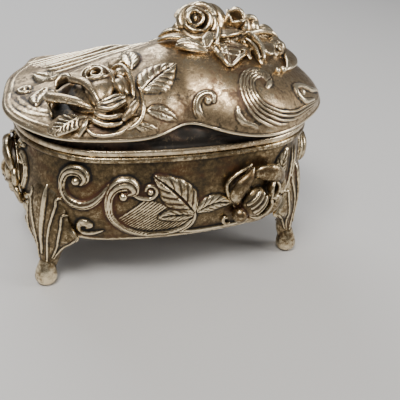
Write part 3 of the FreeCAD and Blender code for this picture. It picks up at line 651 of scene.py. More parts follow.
def square_to_lid(cells):
    """Places of a grid of cells by cells squares, spread evenly over the lid."""
    step = np.linspace(-1, 1, cells + 1)
    u, v = np.meshgrid(step, step)
    x, y = u * np.sqrt(1 - v ** 2 / 2), v * np.sqrt(1 - u ** 2 / 2)
    reach, turn = np.clip(np.hypot(x, y), 0, 1), np.arctan2(y, x)
    turns = np.linspace(-math.pi, math.pi, 361)
    reaches = np.linspace(0, 1, 301)
    fan = edge_radius(turns)[:, None] * reaches
    place = on_lid(fan * np.cos(turns)[:, None], fan * np.sin(turns)[:, None])
    run = np.cumsum(np.linalg.norm(np.diff(place, axis=1), axis=2), axis=1)
    run = np.concatenate([np.zeros((361, 1)), run], 1) / run[:, -1:]
    even = np.array([np.interp(reaches, row, reaches) for row in run])
    at_turn = (turn + math.pi) / TAU * 360
    at_reach = reach * 300
    i, j = np.minimum(at_turn.astype(int), 359), np.minimum(at_reach.astype(int), 299)
    a, b = at_turn - i, at_reach - j
    share = ((even[i, j] * (1 - a) + even[i + 1, j] * a) * (1 - b)
             + (even[i, j + 1] * (1 - a) + even[i + 1, j + 1] * a) * b)
    radius = edge_radius(turn) * np.where(reach >= 1, 1, share)
    return radius * np.cos(turn), radius * np.sin(turn)


LID_CELLS = 262
LID_LIP = ((0.35, -0.25), (0.45, -0.7), (0.25, -1.15), (-0.4, -1.4), (-1.2, -1.5))
COVE_NECK = 69.6
# The moulding over the rim and the inside above it, as (offset, height).
LID_BEAD = ((-1.35, 68.8), (-1.2, 68.0), (-0.7, 67.2), (0.0, 66.8), (0.5, 66.65), (0.8, 66.2),
            (0.9, 65.45), (0.8, 64.8), (0.5, 64.35), (0.0, 64.18), (-2.2, 64.15), (-3.3, 64.3),
            (-3.6, 66.5), (-4.2, 69.6))
LID_CEILING = 71.0


def make_lid_shell():
    x, y = square_to_lid(LID_CELLS)
    points = on_lid(x, y).reshape(-1, 3)
    normals = lid_normal(x, y).reshape(-1, 3)
    relief = Relief(points, normals)
    carve_lid(relief)
    side = LID_CELLS + 1
    index = np.arange(side * side).reshape(side, side)
    faces = np.stack([index[:-1, :-1], index[:-1, 1:], index[1:, 1:], index[1:, :-1]], -1)
    faces = faces.reshape(-1, 4).tolist()
    border = np.concatenate([index[0, :-1], index[:-1, -1], index[-1, :0:-1], index[:0:-1, 0]])
    reach = np.hypot(points[:, 0], points[:, 1]) / edge_radius(np.arctan2(points[:, 1],
                                                                          points[:, 0]))
    fade = smooth((1 - reach) / 0.035)
    points = points + normals * (relief.height * fade)[:, None]
    rim = points[border]
    turn = np.arctan2(rim[:, 1], rim[:, 0])
    outward = np.stack([np.cos(turn), np.sin(turn)], 1)
    # Where each point of the edge comes down onto the moulding over the rim.
    runs = np.linspace(0, PERIMETER, 3000)
    outline = plan(runs, 0.0)[0]
    outline_turn = np.arctan2(outline[:, 1], outline[:, 0])
    order = np.argsort(outline_turn)
    base, away = plan(np.interp(turn, outline_turn[order], runs[order]), 0.0)
    rings = []
    for out, down in LID_LIP:
        rings.append(np.column_stack([rim[:, :2] + outward * out, rim[:, 2] + down]))
    under = rings[-1]
    for share in (0.3, 0.6, 0.85, 1.0):
        rings.append(np.column_stack([
            under[:, :2] * (1 - share) + (base - away * 1.3) * share,
            under[:, 2] * (1 - share ** 0.8) + COVE_NECK * share ** 0.8]))
    for offset, z in LID_BEAD:
        rings.append(np.column_stack([base + away * offset, np.full(len(base), z)]))
    count, start = len(border), len(points)
    faces += [(int(border[i]), start + i, start + (i + 1) % count, int(border[(i + 1) % count]))
              for i in range(count)]
    faces += ring_faces(len(rings), count, first=start)
    # The inside is closed above the moulding, under the silk.
    ceiling = [*rings[-1].mean(0)[:2], LID_CEILING]
    points = np.vstack([points, *rings, ceiling])
    top, foot = len(points) - 1, start + (len(rings) - 1) * count
    faces += [(foot + i, foot + (i + 1) % count, top) for i in range(count)]
    return make_mesh("lid_casting", points, faces)


# --- Cast forms: petals, leaves, buds and legs ------------------------------------------------

class Casting:
    """Overlapping closed forms that are melted into one skin."""

    def __init__(self):
        self.points = []
        self.faces = []
        self.total = 0

    def add(self, rings):
        """A closed form from rings of points, capped at both ends."""
        rings = np.asarray(rings)
        rows, columns = rings.shape[:2]
        first, self.total = self.total, self.total + rows * columns
        self.points.append(rings.reshape(-1, 3))
        self.faces += ring_faces(rows, columns, first=first)
        self.faces.append(tuple(first + i for i in reversed(range(columns))))
        self.faces.append(tuple(first + (rows - 1) * columns + i for i in range(columns)))

    def sweep(self, line, up, half_widths, half_depths, cup=0.0, rows=26, columns=22):
        """A form with oval sections along a line; cup lifts its two sides."""
        line = curve_through(line, rows)
        up = curve_through(np.broadcast_to(up, (len(up), 3)), rows)
        place = np.linspace(0, 1, rows)
        widths = np.interp(place, np.linspace(0, 1, len(half_widths)), half_widths)
        depths = np.interp(place, np.linspace(0, 1, len(half_depths)), half_depths)
        ends = np.sqrt(np.clip(1 - (2 * place - 1) ** 10, 0.02, 1))
        tangent = unit(np.gradient(line, axis=0))
        side = unit(np.cross(up, tangent))
        top = np.cross(tangent, side)
        turn = np.arange(columns) * TAU / columns
        across, over = np.cos(turn), np.sin(turn)
        rings = (line[:, None] + side[:, None] * (widths * ends)[:, None, None] * across[:, None]
                 + top[:, None] * (depths * ends)[:, None, None] * over[:, None]
                 + top[:, None] * (widths * cup)[:, None, None] * (across ** 2)[:, None])
        self.add(rings)

    def ball(self, centre, radii, frame=np.eye(3), rows=14, columns=22):
        rise = np.linspace(-0.49, 0.49, rows) * math.pi
        turn = np.arange(columns) * TAU / columns
        local = np.stack([np.cos(rise)[:, None] * np.cos(turn) * radii[0],
                          np.cos(rise)[:, None] * np.sin(turn) * radii[1],
                          np.sin(rise)[:, None] * np.ones(columns) * radii[2]], -1)
        self.add(np.asarray(centre) + local @ frame)

    def petal(self, frame, origin, turn, half_turn, inner, outer, thickness=0.9, lean=0.0,
              lip=1.2, rows=16, columns=20):
        """A petal of a bloom, from (radius, height) inside to (radius, height) at its lip."""
        reach = np.linspace(0, 1, rows)[:, None]
        across = np.linspace(-1, 1, columns)[None]
        rounding = 1 - 0.30 * np.abs(across) ** 2.6
        radius = inner[0] + (outer[0] - inner[0]) * reach ** 1.1 * rounding
        height = (inner[1] + (outer[1] - inner[1]) * np.sin(np.pi / 2 * np.minimum(reach / 0.8, 1))
                  * rounding - lip * np.clip((reach - 0.72) / 0.28, 0, 1) ** 2 + lean * across)
        angle = turn + across * half_turn * (0.75 + 0.25 * reach)
        sheet = np.stack([radius * np.cos(angle), radius * np.sin(angle), height], -1)
        row_way, column_way = np.gradient(sheet, axis=0), np.gradient(sheet, axis=1)
        normal = unit(np.cross(row_way, column_way)) * thickness / 2
        fade = np.sqrt(np.clip(1 - (across * 0.98) ** 8, 0.02, 1))[..., None]
        section = np.concatenate([sheet + normal * fade, (sheet - normal * fade)[:, ::-1]], 1)
        self.add(np.asarray(origin) + section @ frame)

    def solid(self, name):
        return make_mesh(name, np.vstack(self.points), self.faces)

    def finish(self, name, cell=0.34):
        """Melt the forms into one skin, as a casting has, with cells of the given size."""
        item = self.solid(name)
        apply_modifier(item, "REMESH", mode="VOXEL", voxel_size=cell * MM, use_smooth_shade=True)
        apply_modifier(item, "SMOOTH", factor=0.5, iterations=2)
        item.data.shade_smooth()
        return item


def engrave(item, marks):
    """Raise strokes on a finished form. marks is called with a Relief of its points."""
    relief = Relief(mesh_points(item), mesh_normals(item))
    marks(relief)
    move_points(item, relief.points + relief.normals * relief.height[:, None])
    return item


def facing(direction, upright=(0, 0, 1)):
    """Rows right, up and outward of a frame that looks along a direction."""
    outward = unit(np.asarray(direction, float))
    right = unit(np.cross(upright, outward))
    return np.stack([right, np.cross(outward, right), outward])


def above_lid(x, y, lift):
    """A point above the lid, square to its surface."""
    x, y, lift = (np.asarray(value, float) for value in (x, y, lift))
    return on_lid(x, y) + lid_normal(x, y) * lift[..., None]


def lid_sweep(casting, rows, cup=0.0):
    """A form above the lid along rows of tenths of a millimetre, as TENTHS says."""
    x, y, lift, half_widths, half_depths = np.array(rows).T / TENTHS
    casting.sweep(above_lid(x, y, lift), lid_normal(x, y), half_widths, half_depths, cup)


def lid_ball(casting, x, y, lift, radii):
    casting.ball(above_lid(x, y, lift), radii, facing(lid_normal(x, y), (0, 1, 0)))


def bloom(casting, frame, origin, radius, height, start=0.0, aside=0.09):
    """An open rose: rings of broad lapping petals round a coiled heart set off to one side."""
    rings = ((4, 0.40, 0.05, 1.00, 0.30, 1.02, 0.15), (4, 0.34, 0.15, 0.80, 0.62, 0.98, 0.13),
             (3, 0.26, 0.20, 0.56, 0.84, 1.22, 0.09), (2, 0.16, 0.20, 0.33, 0.96, 1.75, 0.05))
    heart = np.asarray(origin) - frame[0] * radius * aside + frame[1] * radius * 0.05
    for number, (count, r_in, h_in, r_out, h_out, half_turn, lip) in enumerate(rings):
        centre = origin + (heart - origin) * number / 3
        for step in range(count):
            turn = start + number * 0.7 + step * TAU / count
            uneven = 1 + 0.07 * math.sin(5.1 * step + 2.3 * number + start)
            casting.petal(frame, centre, turn, half_turn, (radius * r_in, height * h_in),
                          (radius * r_out * uneven, height * h_out * uneven), thickness=1.0,
                          lean=height * 0.09, lip=radius * lip)
    casting.ball(heart + frame[2] * height * 0.42, (radius * 0.12, radius * 0.17,
                                                    height * 0.58), frame)
    casting.ball(origin, (radius * 0.80, radius * 0.80, height * 0.26), frame)


# The tables of forms below hold whole tenths of a millimetre, a row for each point of a form:
# its place in three numbers, then its half width and half depth there.
TENTHS = 10


def lid_line(relief, x, y, lift, half_width, height):
    """A stroke over a form, at a steady lift above the lid."""
    full = np.ones(len(x))
    relief.stroke(above_lid(x, y, lift * full), half_width * full, height * full)


# Forms of the left rose, in the order in which they are laid.
ROSE_FORMS = (
    # The bud: a full egg, lips round its mouth and a coil inside.
    ((-340, -374, 24, 14, 14), (-331, -348, 38, 37, 26), (-322, -314, 43, 53, 30),
     (-316, -272, 32, 52, 28), (-314, -220, 18, 42, 20)),
    ((-359, -284, 30, 6, 14), (-364, -250, 36, 8, 22), (-359, -206, 36, 9, 24),
     (-337, -180, 36, 9, 24), (-309, -180, 36, 9, 24), (-285, -208, 36, 9, 24),
     (-272, -244, 38, 9, 24), (-268, -286, 38, 9, 22), (-276, -320, 34, 5, 12)),
    ((-364, -254, 50, 6, 9), (-344, -266, 59, 10, 12), (-319, -275, 63, 11, 12),
     (-297, -275, 60, 10, 12), (-274, -268, 48, 6, 9)),
    ((-330, -292, 54, 4, 6), (-302, -299, 59, 8, 9), (-279, -298, 50, 5, 6)),
    ((-345, -246, 46, 6, 15), (-345, -218, 48, 7.5, 15), (-328, -200, 48, 8, 15),
     (-304, -204, 48, 8, 15), (-290, -228, 48, 8, 15), (-294, -252, 48, 7.5, 15),
     (-314, -256, 48, 7, 15), (-328, -242, 48, 7, 15), (-322, -224, 49, 6.5, 15),
     (-309, -225, 49, 5, 15)),
    # The roll left of the bud, beside a deep hollow.
    ((-402, -186, 44, 12, 15), (-392, -212, 52, 16, 16), (-374, -242, 59, 18, 15),
     (-356, -277, 63, 17, 14), (-345, -314, 63, 14, 13), (-338, -346, 58, 11, 11),
     (-335, -372, 46, 6, 9)),
    ((-462, -168, 20, 6, 12), (-446, -148, 30, 9, 19), (-422, -143, 34, 9, 21),
     (-405, -160, 38, 10, 19), (-399, -190, 42, 10, 15)),
    ((-448, -142, 24, 12, 12), (-426, -120, 30, 21, 16), (-394, -108, 24, 13, 11)),
    # The long petal that overhangs the lower hollow.
    ((-484, -196, 26, 16, 19), (-488, -234, 38, 24, 22), (-468, -268, 46, 22, 19),
     (-441, -294, 47, 20, 16), (-414, -320, 46, 18, 15), (-387, -344, 43, 15, 13),
     (-360, -369, 36, 9, 10)),
    ((-499, -238, 18, 6, 14), (-502, -276, 20, 8, 16), (-498, -322, 16, 6, 12)),
    # Folded petals below the bud, each with its lip.
    ((-356, -372, 38, 9, 10), (-320, -377, 45, 25, 15), (-280, -373, 45, 30, 15),
     (-242, -366, 37, 18, 10)),
    ((-362, -378, 28, 6, 13), (-344, -394, 32, 10, 15), (-316, -405, 32, 10, 15),
     (-288, -407, 32, 10, 15), (-264, -406, 30, 6, 12)),
    ((-382, -378, 20, 6, 12), (-366, -399, 23, 9, 15), (-338, -415, 23, 9, 15),
     (-305, -422, 23, 9, 15), (-270, -423, 20, 6, 12)),
    ((-386, -384, 8, 5, 7), (-394, -408, 8, 6, 8), (-374, -426, 8, 7, 8), (-331, -436, 8, 7, 8),
     (-283, -439, 8, 7, 8), (-262, -434, 7, 5, 7)),
    # Petals right of the bud.
    ((-260, -196, 22, 7, 13), (-224, -214, 26, 10, 15), (-210, -264, 28, 11, 15),
     (-210, -314, 28, 11, 15), (-218, -366, 24, 7, 11)),
    ((-250, -264, 30, 7, 12), (-236, -300, 36, 12, 15), (-236, -354, 32, 7, 10)),
    ((-206, -380, 28, 12, 14), (-240, -405, 34, 17, 18), (-272, -420, 26, 9, 12)),
    ((-189, -314, 7, 6, 8), (-186, -376, 11, 9, 11), (-198, -414, 11, 9, 11),
     (-224, -432, 11, 9, 11), (-260, -438, 8, 6, 8)),
    ((-256, -196, 24, 20, 10), (-234, -160, 26, 30, 12), (-214, -132, 16, 18, 8)),
    # The fold at the stem of the notched leaf, which hangs over the edge.
    ((-382, -384, 18, 6, 10), (-404, -404, 18, 12, 12), (-430, -426, 8, 4, 7)),
    ((-384, -378, 12, 8, 7), (-418, -384, 22, 24, 9), (-456, -379, 24, 35, 10),
     (-492, -366, 18, 46, 9), (-516, -346, 10, 30, 7)))
ROSE_BALLS = ((-48.0, -21.4, 2.6, (2.4, 2.6, 2.2)), (-23.8, -25.0, 2.6, (2.1, 2.8, 2.0)),
              (-25.4, -31.4, 3.2, (2.2, 3.8, 2.3)), (-22.4, -37.6, 0.6, (3.6, 5.0, 1.6)))
ROSE_LEAF_MIDRIB = ((-39.2, -37.6), (-43.4, -38.4), (-47.0, -38.8), (-50.8, -38.8))
ROSE_LEAF_RIBS = (3.4, 4.0, 4.4, 4.6, 4.4, 3.8, 2.6)


def make_left_rose():
    """The large rose on the low lobe, with its bud, rolled petals and notched leaf."""
    rose = Casting()
    lid_ball(rose, -34.0, -27, 0.4, (11.0, 11, 2.4))
    for rows in ROSE_FORMS:
        lid_sweep(rose, rows)
    for ball in ROSE_BALLS:
        lid_ball(rose, *ball)

    def marks(relief):
        x, y = curve_through(ROSE_LEAF_MIDRIB, 60).T
        lid_line(relief, x, y, 2.8, np.linspace(0.6, 0.3, 60), 0.7)
        for side, first, share in ((1, 4, 1), (-1, 12, 0.85)):
            for step, reach in enumerate(ROSE_LEAF_RIBS):
                root = np.array([x[first + 7 * step], y[first + 7 * step]])
                turn = math.radians(180 - side * (62 - 7.5 * step))
                tip = root + reach * share * np.array([math.cos(turn), math.sin(turn)])
                lid_line(relief, *np.linspace(root, tip, 40).T, 2.6, 0.4,
                         np.linspace(0.7, 0.4, 40))
        for shift in (-1.5, 0.0, 1.5):
            x, y = curve_through(((-34, -37.2 + shift * 0.4), (-30, -37.6 + shift * 0.9),
                                  (-25, -36.8 + shift * 0.8)), 60).T
            lid_line(relief, x, y, 5.4, 0.5, 0.6)
    return engrave(rose.finish("rose_left", cell=0.3), marks)


CREST_VIEW = (-0.25, -0.72, 0.65)


def make_crest_rose():
    """The large open rose at the top of the hump."""
    rose = Casting()
    frame = facing(CREST_VIEW)
    origin = np.array([15.6, 3.2, 98.2])
    bloom(rose, frame, origin, 11.0, 7.6, start=0.5, aside=0.2)
    for turn, reach in ((3.5, 11.5), (4.3, 12.0), (5.1, 11.0), (2.7, 10.5)):
        line = [origin + (frame[0] * math.cos(turn) + frame[1] * math.sin(turn)) * reach * share
                + frame[2] * rise for share, rise in ((0.4, 0.5), (0.8, 1.6), (1.15, -0.6))]
        rose.sweep(line, [frame[2]] * 3, (2.5, 3.8, 1.6), (1.0, 0.9, 0.6), cup=0.2)
    # Its back: petals that fold down over a rounded middle.
    middle = np.array([18.0, 7.0, 95.6])
    rose.ball(middle, (7.6, 5.8, 7.2))
    for turn in np.radians((-4, 30, 62, 94, 126, 158)):
        outward = np.array([math.cos(turn), math.sin(turn), 0])
        line = [middle + outward * side * np.array([8.6, 6.8, 1]) + np.array([0, 0, up])
                for side, up in ((0.25, 8.2), (0.75, 6.4), (1.06, 1.6), (1.22, -3.0))]
        rose.sweep(line, [outward + np.array([0, 0, 0.7])] * 4, (2.4, 4.2, 4.0, 1.4),
                   (0.9, 1.0, 1.0, 0.7), cup=0.14)
    rose.ball((8.6, 2.0, 93.8), (6.5, 6.5, 4.0))
    return rose.finish("rose_crest")


# Forms of the crest spray, each with its cup before its rows.
SPRAY_UPPER = (
    (0, (304, -126, 54, 6, 10), (366, -96, 62, 9, 14), (420, -64, 60, 9, 14),
     (454, -76, 48, 6, 10)),
    (0.3, (334, -126, 24, 18, 10), (366, -164, 26, 38, 12), (364, -216, 18, 18, 9)),
    (0, (290, -108, 44, 5, 14), (308, -137, 44, 8, 20), (316, -184, 42, 9, 20),
     (318, -225, 38, 9, 19), (314, -274, 26, 6, 10)),
    (0, (284, -136, 32, 4, 10), (292, -181, 32, 6, 14), (298, -222, 30, 6, 14),
     (300, -266, 20, 4, 8)),
    (0.1, (310, -147, 10, 14, 9), (312, -194, 14, 24, 11), (312, -240, 12, 19, 10),
     (310, -280, 7, 5, 6)),
    (0.1, (259, -150, 12, 13, 8), (266, -205, 17, 20, 10), (269, -260, 8, 5, 6)),
    # The leaf below the buds and the one at the right end.
    (0.2, (156, -122, 32, 8, 10), (198, -134, 42, 28, 13), (244, -118, 46, 26, 13),
     (292, -84, 42, 9, 9)),
    (0, (210, -30, 44, 7, 12), (186, -96, 50, 10, 16), (164, -154, 42, 10, 16),
     (146, -190, 24, 6, 10)),
    (0.2, (104, -204, 18, 9, 9), (120, -164, 34, 24, 12), (150, -114, 42, 16, 10)),
    (0.03, (464, -46, 20, 14, 10), (490, -90, 20, 39, 15), (492, -140, 19, 40, 16),
     (476, -190, 16, 32, 14), (454, -230, 12, 18, 11), (428, -264, 6, 4, 6)),
    (0.1, (420, -32, 18, 16, 10), (476, -26, 30, 30, 12), (520, -34, 20, 12, 8)))
# The three-cornered leaf with its raised edges, and the long leaves left of the crest.
SPRAY_LOWER = (
    (0.1, (206, -138, 10, 62, 8), (204, -190, 15, 52, 9), (184, -250, 13, 28, 9),
     (168, -304, 6, 5, 5)),
    (0, (138, -162, 14, 6, 8), (139, -230, 18, 8, 11), (149, -276, 16, 8, 11),
     (164, -309, 10, 5, 8)),
    (0, (272, -197, 14, 6, 8), (244, -242, 18, 8, 11), (208, -276, 16, 8, 11),
     (168, -309, 10, 5, 8)),
    (0, (137, -163, 16, 5, 8), (168, -134, 22, 8, 11), (194, -134, 26, 8, 12),
     (214, -170, 26, 8, 12), (272, -196, 18, 5, 8)),
    (0, (200, -146, 20, 4, 6), (178, -223, 21, 6, 8), (171, -274, 18, 6, 8),
     (167, -306, 12, 3, 5)),
    (0.16, (-4, -142, 12, 12, 9), (34, -154, 22, 29, 12), (70, -178, 22, 22, 11),
     (112, -208, 8, 5, 6)),
    (0, (4, -158, 18, 4, 7), (36, -182, 18, 7, 9), (70, -199, 16, 7, 9), (110, -212, 9, 4, 6)),
    (0.2, (50, -20, 20, 24, 10), (16, -26, 34, 30, 11), (-24, -14, 22, 12, 7)),
    (0.2, (76, -104, 16, 14, 9), (26, -92, 24, 24, 11), (-18, -68, 18, 20, 10),
     (-50, -46, 6, 6, 6)))
# Leaves behind the crest, as three (x, y, lift) points each.
SPRAY_BACK_LEAVES = (((200, 80, 16), (240, 140, 24), (260, 210, 8)),
                     ((120, 100, 16), (80, 160, 24), (30, 220, 8)),
                     ((340, 40, 16), (390, 90, 22), (420, 150, 8)),
                     ((440, -40, 14), (500, -10, 20), (540, 30, 8)),
                     ((280, 50, 16), (320, 110, 26), (340, 190, 8)))


def make_crest_spray():
    """The buds, small rose and leaves that run down the hump beside the crest rose."""
    spray = Casting()
    view = facing(CREST_VIEW)[2]
    # A half-open bud: a cup of three petals round a dark mouth.
    bud = np.array([28.2, 1.4, 97.6])
    tall = facing((0.12, -0.45, 0.88), (0, 1, 0))
    for turn in (0.9, 3.0, 5.1):
        spray.petal(tall, bud, turn, 1.3, (2.4, -3.4), (4.4, 8.0), thickness=1.2, lip=0.3,
                    lean=0.5)
    spray.ball(bud + np.array([0, 0, -0.8]), (4.6, 4.6, 4.0))
    # A folded petal: two lobes under a curled lip.
    for x, z in ((34.0, 97.2), (38.0, 96.6)):
        spray.ball((x, -1.0, z), (3.0, 3.6, 5.0))
    spray.ball((42.6, -4.0, 92.4), (5.0, 4.6, 4.0))
    spray.sweep(((31.6, -1.6, 97.2), (32.4, -0.8, 100.2), (34.4, -0.2, 102.6), (37.6, 0.0, 102.4),
                 (39.8, 0.0, 100.0), (40.6, -0.6, 96.6)), [view] * 6,
                (0.6, 1.1, 1.3, 1.3, 1.1, 0.7), (0.9, 1.2, 1.3, 1.3, 1.2, 0.9))
    # A broad petal over a hollow, and the sharp edge that runs down from it.
    spray.sweep(((40.8, -0.8, 95.4), (43.8, -0.6, 97.6), (47.4, -1.6, 95.8)),
                [(0.2, -0.5, 0.85)] * 3, (2.0, 3.4, 1.8), (1.2, 1.5, 1.1), -0.2)
    for cup, *rows in SPRAY_UPPER:
        lid_sweep(spray, rows, cup)
    # The small rose at the right end of the spray.
    bloom(spray, facing((0.22, -0.72, 0.66)), np.array([44.4, -11.0, 91.4]), 5.6, 4.8, start=1.1)
    lid_ball(spray, 44.0, -11.0, 0.6, (5.0, 5.0, 2.6))
    for x, y, size in ((40.7, -27.2, 1.4), (37.5, -28.9, 1.1)):
        lid_ball(spray, x, y, 0.9, (size, size, size))
    lid_ball(spray, 37, -8, 0.5, (10, 8, 3.4))
    lid_ball(spray, 25, -4, 0.8, (9, 8, 3.4))
    for cup, *rows in SPRAY_LOWER:
        lid_sweep(spray, rows, cup)
    for root, middle, tip in SPRAY_BACK_LEAVES:
        lid_sweep(spray, ((*root, 16, 9), (*middle, 42, 10), (*tip, 7, 6)), 0.12)

    def marks(relief):
        for side in (-1, 1):
            for step in range(4):
                base = np.array([19.6 - 0.7 * step, -16.2 - 3 * step])
                lid_line(relief, *np.linspace(base, base + [side * 4.6, 0.6 - 1.2 * side], 30).T,
                         2.4, 0.5, 0.4)
        for shift in (-1.0, 0.4, 1.6):
            line = curve_through(((1, -14.6 + shift), (5, -16.4 + shift), (10, -19.6 + shift)), 50)
            lid_line(relief, *line.T, 3.0, 0.45, 0.4)
    return engrave(spray.finish("crest_spray"), marks)


# --- Buds on the walls ------------------------------------------------------------------------

# Forms of a wall bud, each with its cup before its rows. Places are along the wall, up and out.
BUD_PETALS = (
    (0, (39, -12, 36, 6, 10), (44, -49, 42, 9, 15), (26, -84, 42, 10, 16), (-8, -103, 38, 10, 15),
     (-44, -100, 32, 6, 10)),
    (0, (52, -26, 28, 7, 9), (82, -34, 32, 16, 13), (98, -62, 30, 24, 13), (84, -98, 26, 24, 12),
     (50, -122, 20, 14, 10)),
    # The broad left petal, and the thinner one behind it with its raised edge.
    (-0.1, (-106, -28, 22, 8, 12), (-120, 22, 34, 32, 19), (-104, 68, 42, 36, 22),
     (-76, 104, 42, 25, 18), (-52, 142, 32, 4, 7)),
    (0, (-98, -30, 6, 14, 7), (-134, 44, 10, 32, 9), (-104, 98, 12, 28, 9), (-56, 140, 12, 5, 6)),
    (0, (-89, -45, 12, 5, 8), (-134, -7, 17, 7, 10), (-160, 44, 19, 7.5, 10),
     (-160, 82, 20, 7.5, 10), (-124, 115, 22, 7.5, 10), (-87, 133, 24, 7, 9),
     (-48, 150, 20, 4, 6)),
    # The hood over the mouth, and the curled petals at its right.
    (-0.06, (-50, 106, 26, 18, 12), (-12, 110, 42, 35, 18), (32, 102, 48, 41, 20),
     (70, 74, 40, 32, 17), (94, 30, 28, 13, 9)),
    (0, (39, 74, 42, 6, 14), (25, 46, 48, 10, 22), (24, 20, 50, 10, 22), (33, -16, 44, 6, 14)),
    (0, (46, 68, 40, 5, 12), (62, 44, 44, 8, 16), (64, 16, 42, 9, 16), (50, -8, 40, 8, 16),
     (34, -20, 38, 5, 12)),
    (0, (88, 62, 24, 7, 10), (104, 34, 28, 15, 13), (107, 2, 28, 15, 13), (94, -28, 26, 7, 9)))
BUD_STALK = (
    (0, (-86, -108, 12, 12, 14), (-32, -123, 17, 25, 19), (33, -134, 14, 20, 14),
     (96, -145, 7, 9, 7)),
    (0, (-110, -134, 6, 5, 6), (-130, -140, 9, 7.5, 8), (-150, -119, 9, 8, 8),
     (-147, -98, 9, 7.5, 8), (-128, -106, 7, 5, 6)))


def make_bud(name, run, height):
    """A rosebud in high relief, at a run and height on the wall."""
    bud = Casting()

    def place(line):
        u, v, w = np.asarray(line, float).T
        points, normals = on_wall(run + u, height + v)
        return points + normals * w[:, None], normals

    def lay_forms(forms):
        for cup, *rows in forms:
            rows = np.array(rows) / TENTHS
            bud.sweep(*place(rows[:, :3]), rows[:, 3], rows[:, 4], cup)

    def knob(middle, radii):
        points, normals = place([middle])
        bud.ball(points[0], radii, facing(normals[0]))

    # The ground of the bud, its full heart, its petals, and the calyx with its stalk.
    heart, heart_radii = np.array([-3.2, -2.2, 3.0]), np.array([5.9, 7.0, 3.9])
    knob((-2.2, 0.2, 0.2), (10.6, 11.4, 2.0))
    knob(heart, heart_radii)
    lay_forms(BUD_PETALS)
    knob((-9.3, -7.8, 3.2), (3.3, 3.6, 3.6))
    lay_forms(BUD_STALK)

    def marks(relief):
        """Slanting folds over the heart."""
        for step, share in enumerate((0.55, 1.0, 0.7, 1.0, 0.6)):
            shift = np.array([1.55, -1.8]) * (step - 2)
            line = curve_through(np.array(((0.4, 4.2), (-2.6, 0.2), (-6.2, -3.2))) + shift, 60)
            inside = 1 - (((line - heart[:2]) / heart_radii[:2]) ** 2).sum(1)
            lift = heart[2] + heart_radii[2] * np.sqrt(np.clip(inside, 0, 1))
            line = np.column_stack([line, lift])[inside > 0.12]
            fade = np.clip((inside[inside > 0.12] - 0.12) * 4, 0.2, 1)
            relief.stroke(place(line)[0], 0.8 * share * fade, 0.55 * share * fade)
    return engrave(bud.finish(name, cell=0.3), marks)


# --- Legs -------------------------------------------------------------------------------------

LEG_TURN = math.radians(37.7)
# Each level of a leg: height, half width round the corner, outer face out from the rim line,
# half thickness.
LEG_LEVELS = ((6.0, 2.4, 3.9, 2.2), (8.4, 3.1, 3.9, 2.6), (11.3, 4.0, 3.7, 2.9),
              (14.0, 5.0, 3.55, 3.1), (17.0, 6.6, 3.35, 3.1), (20.6, 9.2, 3.2, 3.2),
              (23.0, 12.0, 3.3, 3.3), (25.0, 14.8, 3.35, 3.4), (28.0, 13.8, 3.35, 3.7),
              (32.0, 11.6, 3.2, 3.7), (39.0, 9.4, 2.3, 3.0), (45.0, 7.4, 0.6, 1.8),
              (49.0, 5.4, -2.4, 1.0))
# Raised ridges of a leg as (round the corner, height, half width), and how high they stand;
# the first stands alone and the others are on both sides.
LEG_RIDGES = (
    (((1.2, 47.5, 0.4), (1.5, 42, 1.1), (1.0, 34, 1.15), (0.1, 25, 0.9), (0, 16, 0.5)), 1.1),
    (((8.2, 43.2, 0.35), (6.2, 42.6, 0.5), (6.2, 39.8, 0.55), (4.9, 33.8, 0.55),
      (3.7, 28.0, 0.5), (2.6, 20.5, 0.5), (2.1, 12.4, 0.4)), 0.7),
    (((11.0, 36.8, 0.3), (8.8, 36.0, 0.45), (8.6, 31.5, 0.5), (7.6, 25, 0.5),
      (5.8, 18.5, 0.45), (3.7, 12.5, 0.35)), 0.65),
    (((14.0, 25.6, 0.4), (11.4, 22.6, 0.6), (8.2, 18.6, 0.6), (5.6, 14.4, 0.5),
      (3.9, 10.6, 0.4)), 0.7))
# The foot as height, radius and distance of its middle out from the rim line.
FOOT_PROFILE = ((0.02, 1.6, 2.1), (0.5, 3.0, 2.1), (1.6, 4.1, 2.1), (3.2, 4.65, 2.1),
                (5.0, 4.6, 2.0), (7.0, 4.2, 1.8), (9.2, 3.6, 1.4), (12.0, 2.9, 0.9))


